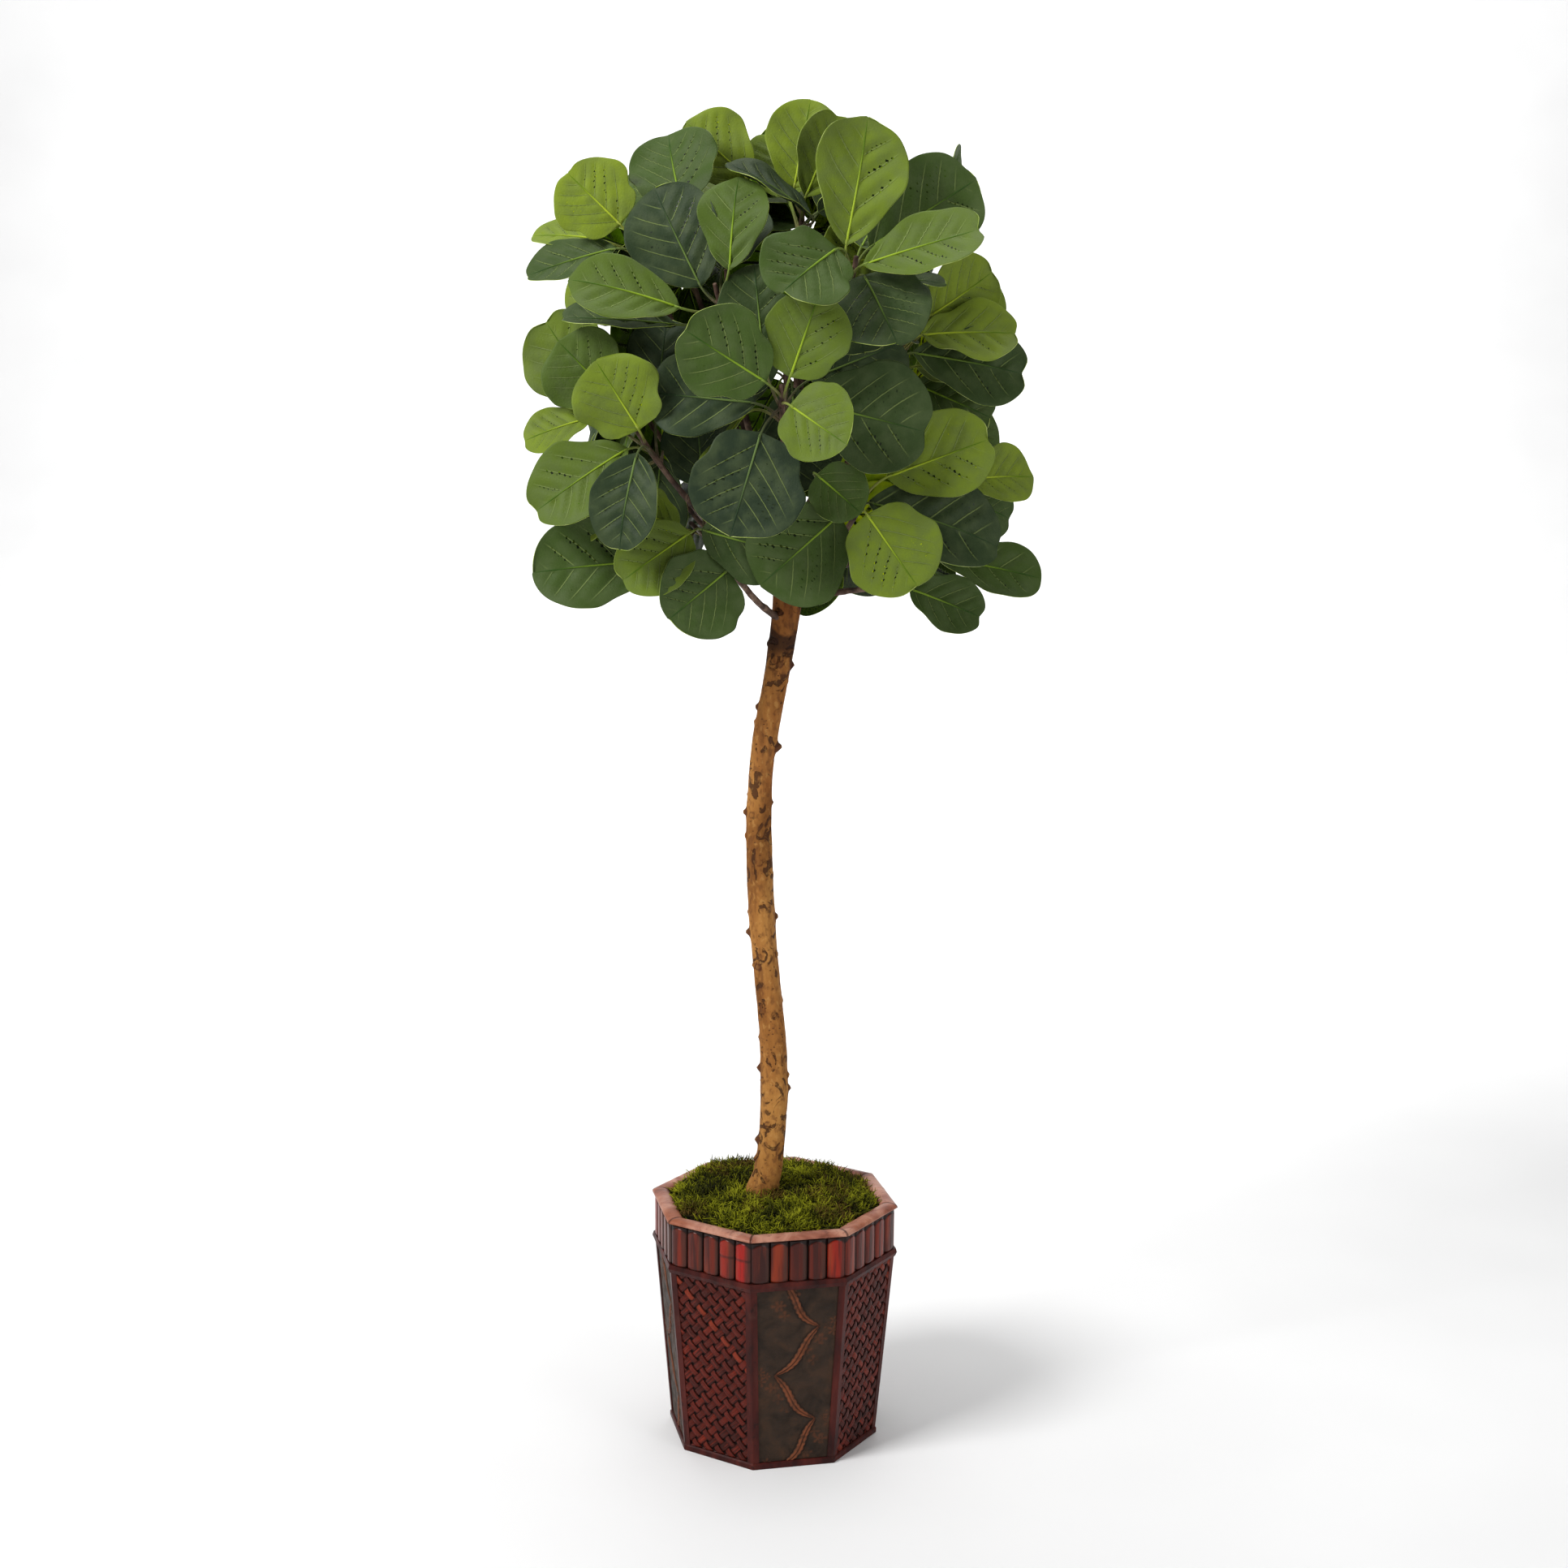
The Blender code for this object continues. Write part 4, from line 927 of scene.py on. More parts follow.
def trunk_skin():
    """Points of the bark, with marks for spurs and scars."""
    top = TRUNK_PATH_CM[-1][0]
    points, spur_marks, scar_marks = [], [], []
    rows = np.linspace(TRUNK_LOW_CM, top, TRUNK_ROWS)
    for z in rows:
        centre, radius = trunk_at(z)
        for k in range(TRUNK_COLUMNS):
            angle = 2 * pi * k / TRUNK_COLUMNS
            out = Vector((cos(angle), sin(angle), 0))
            place = centre + out * radius
            reach = radius * (1 + 0.05 * sin(3 * angle + 9 * centre.z))
            reach += 0.0011 * noise.noise(Vector((place.x * 30, place.y * 30, place.z * 14)))
            reach += 0.00055 * noise.noise(Vector((place.x * 110, place.y * 110, place.z * 45 + 7)))
            reach += 0.00025 * noise.noise(Vector((place.x * 420, place.y * 420, place.z * 160 + 3)))
            spur = scar = 0.0
            for height, side, size in ALL_KNOTS:
                rise = (z - height) / (0.34 + 0.34 * size)
                if abs(rise) < 3.2:
                    turn = (angle - radians(side) + pi) % (2 * pi) - pi
                    swing = turn * radius / CM / (0.34 + 0.26 * size)
                    spur_here = np.exp(-(rise**2 + swing**2) * 1.3) * size
                    spur = max(spur, spur_here)
                    ring = hypot(rise, swing)
                    scar = max(scar, np.exp(-(((ring - 0.9) / 0.35) ** 2)) * min(1.0, size * 1.4))
            reach += spur * 0.0072 - scar * 0.0010
            points.append(centre + out * reach)
            spur_marks.append(spur)
            scar_marks.append(scar)
    return points, spur_marks, scar_marks


def spread_scars():
    """Small leaf scars all over the bark, besides the named knots: height, side and size."""
    chance = np.random.default_rng(5)
    found = []
    for number in range(SCARS):
        height = 31 + 74 * (number + chance.uniform(0, 1)) / SCARS
        found.append((height, float(number * SCAR_TURN % 360), float(chance.uniform(0.12, 0.42))))
    return tuple(found)


ALL_KNOTS = KNOTS + spread_scars()


def bark_finish():
    made = Finish("bark", specular=0.10)
    grain = made.noise(24, 6, (1, 1, 0.22), 0.6)
    colour = made.ramp(
        grain, (0.28, tint(96, 56, 25)), (0.45, tint(146, 96, 46)), (0.60, tint(174, 122, 62)),
        (0.76, tint(128, 78, 36)),
    )
    patches = made.noise(9, 4, (1, 1, 0.45), 0.4)
    colour = made.wash(colour, patches, 0.5, 0.72, 0.55, tint(150, 88, 42))
    streaks = made.noise(70, 5, (1, 1, 0.10))
    colour = made.wash(colour, streaks, 0.56, 0.72, 0.5, tint(96, 58, 32))
    lesions = made.noise(48, 4, (1, 1, 0.85), 1.4)
    colour = made.wash(colour, lesions, 0.575, 0.625, 0.85, tint(58, 34, 22))
    specks = made.cells(130, "F1", (1, 1, 1.5))
    few = made.span(made.noise(30, 2), 0.45, 0.56)
    specked = made.times(made.span(specks, 0.12, 0.24, 0.75, 0.0), few)
    colour = made.mix(specked, colour, tint(66, 38, 24))
    mottle = made.noise(170, 5, (1, 1, 0.7), 0.3)
    colour = made.wash(colour, mottle, 0.50, 0.66, 0.55, tint(98, 60, 34))
    colour = made.mix(made.span(mottle, 0.30, 0.44, 0.45, 0.0), colour, tint(188, 140, 78))
    spur, scar = made.mark("spur"), made.mark("scar")
    colour = made.wash(colour, scar, 0.12, 0.6, 0.85, tint(70, 34, 22))
    colour = made.wash(colour, spur, 0.10, 0.50, 0.65, tint(92, 58, 38))
    up = made.height()
    ruddy = made.mix(1.0, colour, tint(150, 92, 66), "MULTIPLY")
    colour = made.wash(colour, up, 0.90, 1.06, 0.62, ruddy)
    collar = made.times(made.span(made.noise(26, 3, (1, 1, 1.4)), 0.42, 0.55), made.span(up, 0.975, 0.995))
    collar = made.times(collar, made.span(up, 1.012, 1.03, 1.0, 0.0))
    colour = made.mix(made.times(collar, 0.85), colour, tint(40, 24, 18))
    colour = made.mix(made.span(up, 0.30, 0.335, 0.35, 0.0), colour, tint(104, 66, 40))
    normal = made.bump(grain, 0.0016)
    normal = made.bump(made.noise(190, 6, (1, 1, 0.35)), 0.0009, normal)
    normal = made.bump(made.span(lesions, 0.57, 0.63, 1.0, 0.0), 0.0016, normal)
    rough = made.span(grain, 0.3, 0.7, 0.80, 0.60)
    return made.finish(colour, rough, normal)


def build_trunk():
    shell = Shell("spur", "scar")
    points, spur, scar = trunk_skin()
    faces = capped_tube(TRUNK_ROWS, TRUNK_COLUMNS)
    shell.add(points, faces, spur=np.array(spur), scar=np.array(scar))
    piece = shell.build("trunk_bark", (bark_finish(),), TREE_TURN)
    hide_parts("trunk")


# ---------------------------------------------------------------- moss and soil

MOSS_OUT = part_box("moss")[1].x
MOSS_EDGE_TOP, MOSS_MOUND = 0.3022, 0.0130
MAT_RINGS, MAT_SIDES = 14, 64
CLUMP_STRANDS, CLUMP_SPREAD = 18, 0.0042
HEAP_ANGLE, HEAP_OUT, HEAP_SPREAD, HEAP_RISE = radians(118), 0.095, 0.035, 0.0090


def octagon_share(x, y):
    """How far out a point lies in the planter: 0 on the axis, 1 at the moss's edge."""
    return max(abs(x * cos(2 * HALF_SIDE * k) + y * sin(2 * HALF_SIDE * k)) for k in range(4)) / MOSS_OUT


def moss_height(x, y):
    """Top of the moss: a low mound with soft lumps, and a heap against the rim at the back."""
    share = min(1.0, hypot(x, y) / MOSS_OUT)
    lumps = 0.0040 * noise.noise(Vector((x * 42, y * 42, 2)))
    lumps += 0.0022 * noise.noise(Vector((x * 95, y * 95, 9)))
    far = hypot(x - HEAP_OUT * cos(HEAP_ANGLE), y - HEAP_OUT * sin(HEAP_ANGLE)) / HEAP_SPREAD
    heap = HEAP_RISE * float(np.exp(-(far**2)))
    return MOSS_EDGE_TOP + MOSS_MOUND * (1 - share**2) ** 0.7 + lumps + heap


def moss_strand(foot, way, chance, length):
    """A thin curled strand as a three-sided rod."""
    curl = Vector(chance.normal(0, 1, 3)).normalized() * chance.uniform(0.3, 1.1)
    place = foot.copy()
    line = [place]
    for _ in range(4):
        way = (way + curl * 0.55 + Vector(chance.normal(0, 0.34, 3))).normalized()
        place = place + way * (length / 4)
        line.append(place)
    return rod(line, [0.00056, 0.00076, 0.00068, 0.00050, 0.00016], 3)


def moss_finish(settings):
    made = Finish("moss", specular=0.15)
    shade = made.mark("shade")
    value = made.times(shade, 0.66)
    value = made.math("ADD", value, made.span(made.noise(24, 4), 0.32, 0.66, 0.02, 0.38), clamp=True)
    # The darkest stop mostly paints the bed's shade under the strands.
    colour = made.ramp(
        value, (0.18, tint(26, 26, 6)), (0.38, settings.moss_dark), (0.60, settings.moss_green),
        (0.84, settings.moss_bright),
    )
    brown = made.times(made.span(made.noise(17, 3), 0.52, 0.62), made.span(shade, 0.3, 0.6, 0.6, 0.1))
    colour = made.mix(brown, colour, tint(110, 84, 34))
    return made.finish(colour, 0.9, made.bump(made.noise(900, 3), 0.0004))


def moss_mat(shell):
    """The dark bed under the strands, painted dark as the shade in the gaps between them."""
    mat = []
    for ring in range(MAT_RINGS + 1):
        for k in range(MAT_SIDES):
            x, y = cos(2 * pi * k / MAT_SIDES), sin(2 * pi * k / MAT_SIDES)
            out = 0.995 * (ring / MAT_RINGS) / octagon_share(x, y)
            x, y = x * out, y * out
            mat.append((x, y, moss_height(x, y) - 0.0045 - 0.004 * (ring == MAT_RINGS)))
    shell.add(mat, grid_faces(MAT_RINGS + 1, MAT_SIDES, closed=True), shade=0.05)


def build_moss(settings):
    """A lumpy mat with thousands of curled strands in clumps, in two layers."""
    chance = np.random.default_rng(settings.seed + 1)
    finish = moss_finish(settings)
    trunk, radius = trunk_at(31)
    trunk = Matrix.Rotation(TREE_TURN, 4, "Z") @ trunk
    for layer in ("moss_bed", "moss_tops"):
        shell = Shell("shade")
        if layer == "moss_bed":
            moss_mat(shell)
        planted = 0
        while planted < settings.moss_strands / 2:
            x, y = chance.uniform(-MOSS_OUT, MOSS_OUT, 2)
            clump_shade, clump_rise = chance.uniform(0.10, 0.80), chance.uniform(-0.0040, 0.0022)
            if layer == "moss_tops":
                clump_rise += 0.0015
            for _ in range(CLUMP_STRANDS):
                off = chance.normal(0, CLUMP_SPREAD, 2)
                fx, fy = x + off[0], y + off[1]
                if octagon_share(fx, fy) > 0.985 or hypot(fx - trunk.x, fy - trunk.y) < radius * 0.9:
                    continue
                foot = Vector((fx, fy, moss_height(fx, fy) - 0.0022 + clump_rise))
                lean = 0.9 * octagon_share(fx, fy) ** 8 / MOSS_OUT
                way = Vector((off[0] * 190 + fx * lean, off[1] * 190 + fy * lean, 0.40)).normalized()
                length = chance.uniform(0.007, 0.016)
                points, faces = moss_strand(foot, way, chance, length)
                # Each strand is darker at its foot and lighter at its tip: painted shade deep in the moss,
                # over the moss's own brighter tips.
                rise = np.repeat(np.linspace(-0.20, 0.14, 5), 3)
                shade = np.clip(clump_shade + chance.uniform(-0.2, 0.2) + rise, 0, 1)
                shell.add(points, faces, shade=shade)
                planted += 1
        piece = shell.build(layer, (finish,))
        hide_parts("moss")


def soil_finish():
    made = Finish("soil", specular=0.2)
    crumbs = made.cells(120)
    colour = made.ramp(
        made.noise(60, 6), (0.3, tint(34, 24, 16)), (0.6, tint(66, 48, 34)), (0.8, tint(92, 70, 50)),
    )
    colour = made.mix(made.span(crumbs, 0.0, 0.3, 0.5, 0.0), colour, tint(24, 17, 12))
    return made.finish(colour, 0.95, made.bump(crumbs, 0.003))


# ---------------------------------------------------------------- planter

RAIL_LOW, RAIL_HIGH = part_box("rim_rail_1")
SLAT_LOW, SLAT_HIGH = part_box("slat_panel_1")
WALL_LOW, WALL_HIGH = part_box("carved_wall_1")
BEAD_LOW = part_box("bead_moulding")[0].z
WALL_LEAN = 0.0196  # how much further out a wall's top is than its foot
SLATS_A_SIDE = 5
MITRE_GAP = 0.0002  # what each mitred end stops short of the joint
RAIL_STEPS, RAIL_ARCH, RAIL_LENGTHS = 18, 15, 48
RAIL_LIP = 0.0022  # height of a rail's straight lower edge
SLAT_COLUMNS, SLAT_BACK = 17, 0.0022
BOARD_THICK = 0.0016  # the board that the slats stand on
RINGED_SIDE = 5  # the side whose last two slats show a node ring


def turned(points, side):
    """Points of the planter's first side, carried round to another."""
    turn = np.array(Matrix.Rotation(2 * HALF_SIDE * side, 3, "Z"))
    return np.asarray([tuple(p) for p in points]) @ turn.T


def dress(name, material):
    """Gives a node of the frame its material."""
    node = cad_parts[name]
    node.data.materials.clear()
    node.data.materials.append(material)
    return node


def wall_out(z):
    """Apothem of the wall boards' outer face at a height."""
    share = (z - WALL_LOW.z) / (WALL_HIGH.z - WALL_LOW.z)
    return WALL_HIGH.x - WALL_LEAN * (1 - share)


def rim_finish():
    made = Finish("rim_bamboo", specular=0.22)
    grain = made.noise(30, 5, (1, 1, 1), 0.8)
    colour = made.ramp(
        grain, (0.25, tint(104, 54, 40)), (0.42, tint(150, 92, 72)), (0.60, tint(186, 134, 112)),
        (0.78, tint(122, 70, 52)),
    )
    wear = made.noise(11, 4)
    colour = made.wash(colour, wear, 0.52, 0.70, 0.55, tint(160, 92, 58))
    fibres = made.noise(210, 3, (1, 1, 3))
    colour = made.wash(colour, fibres, 0.58, 0.72, 0.45, tint(96, 50, 38))
    cracks = made.mark("joint")
    colour = made.mix(made.times(cracks, 0.8), colour, tint(52, 28, 24))
    normal = made.bump(fibres, 0.0004)
    normal = made.bump(grain, 0.0006, normal)
    return made.finish(colour, made.span(wear, 0.3, 0.7, 0.34, 0.52), normal)


def build_rim(settings):
    """Eight half-round bamboo rails, mitred where they meet, with a faint node ring on some."""
    finish = rim_finish()
    chance = np.random.default_rng(settings.seed + 2)
    inner, outer, low, high = RAIL_LOW.x, RAIL_HIGH.x, RAIL_LOW.z, RAIL_HIGH.z
    middle, half = (inner + outer) / 2, (outer - inner) / 2
    inner = 2 * middle - outer
    steps, lengths = RAIL_STEPS, RAIL_LENGTHS
    for side in range(SIDES):
        node = chance.uniform(-0.8, 0.8)
        has_node = chance.uniform(0, 1) < 0.6
        shift = chance.uniform(0, 50)
        points, joint = [], []
        for i in range(lengths + 1):
            s = i / lengths * 2 - 1
            ring = 0.0006 * np.exp(-(((s - node) / 0.03) ** 2)) * has_node
            for k in range(steps):
                if k < RAIL_ARCH:
                    angle = pi * k / (RAIL_ARCH - 1)
                    wave = 0.00035 * noise.noise(Vector((s * 5 + shift, angle * 1.5, side)))
                    a = middle + (half + ring) * cos(angle)
                    z = low + RAIL_LIP + (high - low - RAIL_LIP) * sin(angle) ** 0.85
                    z = z + (wave + ring) * sin(angle)
                    z = min(z, high + 0.0004)
                else:
                    a = inner + (outer - inner) * (k - 14.5) / 4
                    z = low
                reach = a * tan(HALF_SIDE) - MITRE_GAP
                points.append((a, s * reach, z))
                end = np.exp(-(((abs(s) - 1) / 0.012) ** 2))
                groove = np.exp(-(((s - node - 0.035) / 0.010) ** 2)) * has_node
                joint.append(min(1.0, end + groove * 0.8))
        faces = grid_faces(lengths + 1, steps, closed=True, flip=True)
        faces.append(tuple(range(steps)))
        faces.append(tuple(range(lengths * steps + steps - 1, lengths * steps - 1, -1)))
        shell = Shell("joint")
        shell.add(turned(points, side), faces, joint=np.array(joint))
        piece = shell.build(f"rim_bamboo_{side + 1}", (finish,))
        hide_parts(f"rim_rail_{side + 1}")


def slat_finish():
    made = Finish("slat_bamboo", specular=0.20, coat=0.05, coat_roughness=0.25)
    shade, stain = made.mark("shade"), made.mark("stain")
    red = made.ramp(
        shade, (0.0, tint(50, 17, 11)), (0.35, tint(82, 24, 12)), (0.7, tint(118, 34, 12)),
        (1.0, tint(160, 18, 8)),
    )
    streaks = made.noise(150, 5, (1, 1, 0.06), 0.3)
    colour = made.wash(red, streaks, 0.42, 0.60, 0.75, tint(44, 17, 13))
    colour = made.wash(colour, made.noise(60, 4, (1, 1, 0.12)), 0.50, 0.66, 0.6, tint(140, 52, 22))
    # One side of each slat is painted greyer and darker as shade, and is also rougher.
    colour = made.mix(made.times(made.mark("dull"), 0.72), colour, tint(58, 40, 33))
    # Painted shade along the slats' edges where they meet and on their backs seen through the gaps; darker
    # too at the top under the rim, at the foot and in the groove under a node ring.
    colour = made.mix(stain, colour, tint(20, 12, 10))
    normal = made.bump(streaks, 0.0005)
    rough = made.span(made.mark("dull"), 0.0, 1.0, 0.30, 0.55)
    return made.finish(colour, rough, normal)


def build_slats(settings):
    """Five half-round bamboo slats on each side, each a little different, with dark cut ends. Painted shade
    darkens one side of each slat and their edges where they meet.
    """
    finish = slat_finish()
    chance = np.random.default_rng(settings.seed + 3)
    back, crest, low, high = SLAT_LOW.x, SLAT_HIGH.x, SLAT_LOW.z, SLAT_HIGH.z
    heights = np.concatenate((np.linspace(low, high - 0.009, 16), np.linspace(high - 0.0084, high, 15)))
    rows, columns = len(heights), SLAT_COLUMNS
    for side in range(SIDES):
        shell = Shell("shade", "stain", "dull")
        half_front = (crest - 0.003) * tan(HALF_SIDE)
        pitch = 2 * half_front / SLATS_A_SIDE
        for number in range(SLATS_A_SIDE):
            centre = -half_front + pitch * (number + 0.5)
            width = pitch * chance.uniform(0.94, 0.975)
            ringed = side == RINGED_SIDE and number >= SLATS_A_SIDE - 2
            shade = 0.98 if side == RINGED_SIDE and number == SLATS_A_SIDE - 1 else chance.uniform(0.15, 0.85)
            # where across the slat its painted shade and rougher side begin
            painted_shade_from = chance.uniform(0.15, 0.55)
            rise = (crest - back - SLAT_BACK) * chance.uniform(0.9, 1.0)
            ring_z = low + 0.62 * (high - low)
            points, stain, dull = [], [], []
            for z in heights:
                ring = np.exp(-(((z - ring_z) / 0.0011) ** 2)) * ringed
                groove = np.exp(-(((z - ring_z + 0.0034) / 0.0010) ** 2)) * ringed
                for k in range(columns):
                    t = k / (columns - 1) * 2 - 1
                    arch = max(0.0, 1 - abs(t) ** 2.4) ** 0.5
                    out = back + SLAT_BACK + (rise - 0.0006) * arch + 0.0005 * ring - 0.0005 * groove
                    y = centre + t * width / 2
                    out += 0.0002 * noise.noise(Vector((y * 300, z * 60, side)))
                    cut = 0.0088 - 0.0062 * (1 - t * t)
                    end = smoothstep(cut, cut - 0.0012, np.array(high - z))
                    points.append((out - 0.0011 * float(end) * arch, y, z))
                    # painted shade along the edges, with the dark top, foot and groove
                    edge = smoothstep(0.86, 0.99, np.array(abs(t)))
                    foot = 0.5 * smoothstep(0.004, 0.0, np.array(z - low))
                    stain.append(float(np.clip(end * 0.9 + edge * 0.85 + foot + groove * 0.7, 0, 0.95)))
                    dull.append(float(smoothstep(painted_shade_from, painted_shade_from + 0.35, np.array(t))))
            front = len(points)
            points += [(back + 0.0004, y, z) for _, y, z in points]
            shell.add(
                turned(points, side), sum(slab_faces(rows, columns), []), shade=shade,
                stain=np.array(stain + [0.95] * front), dull=np.array(dull * 2),
            )
        board = []
        for out in (back, back + BOARD_THICK):
            half = out * tan(HALF_SIDE) - MITRE_GAP
            board += [(out, s * half, z) for z in (low, high) for s in (-1, 1)]
        box_faces = [(0, 2, 3, 1), (4, 5, 7, 6), (0, 1, 5, 4), (2, 6, 7, 3), (0, 4, 6, 2), (1, 3, 7, 5)]
        # the board behind the slats takes the same painted shade
        shell.add(turned(board, side), box_faces, shade=0.1, stain=0.9, dull=1.0)
        piece = shell.build(f"slats_{side + 1}", (finish,))
        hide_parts(f"slat_panel_{side + 1}")


def woven_finish():
    made = Finish("plaited_strip", specular=0.14)
    shade, edge = made.mark("shade"), made.mark("edge")
    colour = made.ramp(
        shade, (0.0, tint(40, 16, 12)), (0.4, tint(68, 22, 15)), (0.75, tint(96, 29, 17)),
        (1.0, tint(124, 44, 22)),
    )
    strip = made.along("across", "run", "strip")
    streaks = made.noise(1.0, 4, (2.6, 42, 7), place=strip)
    colour = made.wash(colour, streaks, 0.46, 0.68, 0.55, tint(32, 14, 11))
    bright = made.noise(1.0, 3, (3.4, 26, 11), place=strip)
    colour = made.wash(colour, bright, 0.54, 0.70, 0.60, tint(138, 44, 26))
    # Painted shade along each strip's edges, where the strips meet and pass under each other.
    colour = made.wash(colour, edge, 0.62, 1.0, 0.75, tint(15, 8, 7))
    return made.finish(colour, made.span(streaks, 0.3, 0.7, 0.36, 0.56), made.bump(streaks, 0.0005))


def backing_finish():
    made = Finish("board_behind_plait", specular=0.2)
    colour = made.ramp(made.noise(80, 4), (0.3, tint(20, 11, 9)), (0.7, tint(44, 22, 17)))
    return made.finish(colour, 0.8, made.bump(made.noise(200, 3), 0.0005))


STRIP_PITCH, STRIP_LIFT, STRIP_THICK, STRIP_DOME = 0.0118, 0.0008, 0.0006, 0.0004
STRIP_WIDTHS = (0.0086, 0.0080)
STRIP_ACROSS = (-1.0, -0.7, 0.0, 0.7, 1.0)
WEAVE_LOW, WEAVE_HIGH = WALL_LOW.z + 0.0002, BEAD_LOW - 0.0003
DIAGONAL = 0.5**0.5
STRIPS_EACH_WAY, STRIP_REACH = 24, 0.24
WALL_GAP = 0.0010  # between the plait's edge and the wall's


def build_weave(settings):
    """Bamboo strips plaited on the slant, one over one, on every second wall."""
    finish, behind = woven_finish(), backing_finish()
    chance = np.random.default_rng(settings.seed + 4)
    for side in range(1, SIDES, 2):
        shell = Shell("shade", "edge", "across", "run", "strip")
        for falling, number in product((False, True), range(-STRIPS_EACH_WAY, STRIPS_EACH_WAY)):
            add_strip(shell, side, falling, number, chance)
        piece = shell.build(f"plait_{side + 1}", (finish,))
        dress(f"woven_wall_{side + 1}", behind)


def add_strip(shell, side, falling, number, chance):
    """One slanted strip, falling or rising to the right. Mouldings cover its ends."""
    shade = chance.uniform(0.35, 1.0) if falling else chance.uniform(0.15, 0.80)
    strip, wide = chance.uniform(0, 50), STRIP_WIDTHS[falling] / 2
    points, edge, across, run = [], [], [], []
    for along in np.arange(-STRIP_REACH, STRIP_REACH, STRIP_PITCH / 8):
        over = cos(pi * (along / STRIP_PITCH + number)) * (1.6 if falling else -1.6)
        level = 0.0004 + STRIP_LIFT * (1 + max(-1.0, min(1.0, over)))
        row = []
        for t in STRIP_ACROSS:
            fixed = number * STRIP_PITCH + t * wide
            rising, sinking = (fixed, along) if falling else (along, fixed)
            y, z = (rising + sinking) * DIAGONAL, WEAVE_LOW + 0.12 + (rising - sinking) * DIAGONAL
            row.append((y, z, level + STRIP_DOME * (1 - t * t)))
        middle_y, middle_z, _ = row[2]
        limit = wall_out(middle_z) * tan(HALF_SIDE) - WALL_GAP
        if abs(middle_y) > limit + 0.005 or not WEAVE_LOW - 0.005 < middle_z < WEAVE_HIGH + 0.005:
            continue
        for t, (y, z, up) in zip(STRIP_ACROSS, row):
            z = min(max(z, WEAVE_LOW), WEAVE_HIGH)
            limit = wall_out(z) * tan(HALF_SIDE) - WALL_GAP
            points.append((wall_out(z) + up, min(max(y, -limit), limit), z))
            edge.append(abs(t))
            across.append(t)
            run.append(along)
    columns = len(STRIP_ACROSS)
    rows = len(points) // columns
    if rows < 3:
        return
    points += [(out - STRIP_THICK, y, z) for out, y, z in points]
    faces = sum(slab_faces(rows, columns, falling), [])
    shell.add(
        turned(points, side), faces, shade=shade, edge=np.array(edge * 2), strip=strip,
        across=np.array(across * 2), run=np.array(run * 2),
    )


CARVED_ROWS, CARVED_COLUMNS = 260, 104


def carved_finish():
    made = Finish("carved_board", specular=0.12)
    field = made.ramp(
        made.noise(34, 6, (1, 1, 1), 0.8), (0.30, tint(36, 28, 22)), (0.5, tint(54, 41, 32)),
        (0.7, tint(68, 48, 35)),
    )
    colour = made.wash(field, made.noise(150, 4), 0.5, 0.72, 0.45, tint(40, 34, 30))
    rust = made.times(made.mark("feather"), made.span(made.noise(120, 4), 0.3, 0.60, 0.30, 0.95))
    colour = made.mix(rust, colour, tint(124, 70, 44))
    sprig = made.times(made.mark("sprig"), made.span(made.noise(60, 3), 0.36, 0.55, 0.15, 0.85))
    colour = made.mix(sprig, colour, tint(88, 52, 34))
    # Painted shade in the carved cut lines and round the feathers.
    colour = made.mix(made.times(made.mark("cut"), 0.8), colour, tint(20, 15, 12))
    normal = made.bump(made.noise(260, 5), 0.0008)
    return made.finish(colour, made.span(made.noise(80, 3), 0.3, 0.7, 0.48, 0.7), normal)


def feather(y, z, start, end, bow, width):
    """Carving depth of one bowed feather between two points: two long lobes beside a cut line."""
    sy, sz = start
    ey, ez = end
    length = hypot(ey - sy, ez - sz)
    ty, tz = (ey - sy) / length, (ez - sz) / length
    along = ((y - sy) * ty + (z - sz) * tz) / length
    across = (y - sy) * -tz + (z - sz) * ty
    across = across - bow * np.sin(pi * np.clip(along, 0, 1)) + bow * 0.6 * np.sin(2 * pi * along)
    inside = (along > 0) & (along < 1)
    swell = width * np.sqrt(np.clip(np.sin(pi * np.clip(along, 0, 1)), 0, 1))
    apart = np.abs(across)
    teeth = 1 + 0.10 * np.sin(along * 70)
    lobe = inside * (1 - smoothstep(0.62, 1.0, apart / np.maximum(swell * teeth, 1e-5)))
    cut = inside * np.exp(-((apart / 0.0008) ** 2))
    outline_cut = inside * np.exp(-(((apart - swell * teeth * 1.08) / 0.0009) ** 2))
    return lobe, np.maximum(cut, outline_cut * 0.7)


def sprig(y, z, at, size, petals):
    """A small faint tuft of petals."""
    dy, dz = y - at[0], z - at[1]
    reach, angle = np.hypot(dy, dz), np.arctan2(dz, dy)
    edge = size * (0.55 + 0.45 * np.abs(np.cos(petals * angle / 2)))
    return (1 - smoothstep(0.7, 1.0, reach / edge)) * (0.5 + 0.5 * np.cos(petals * angle))


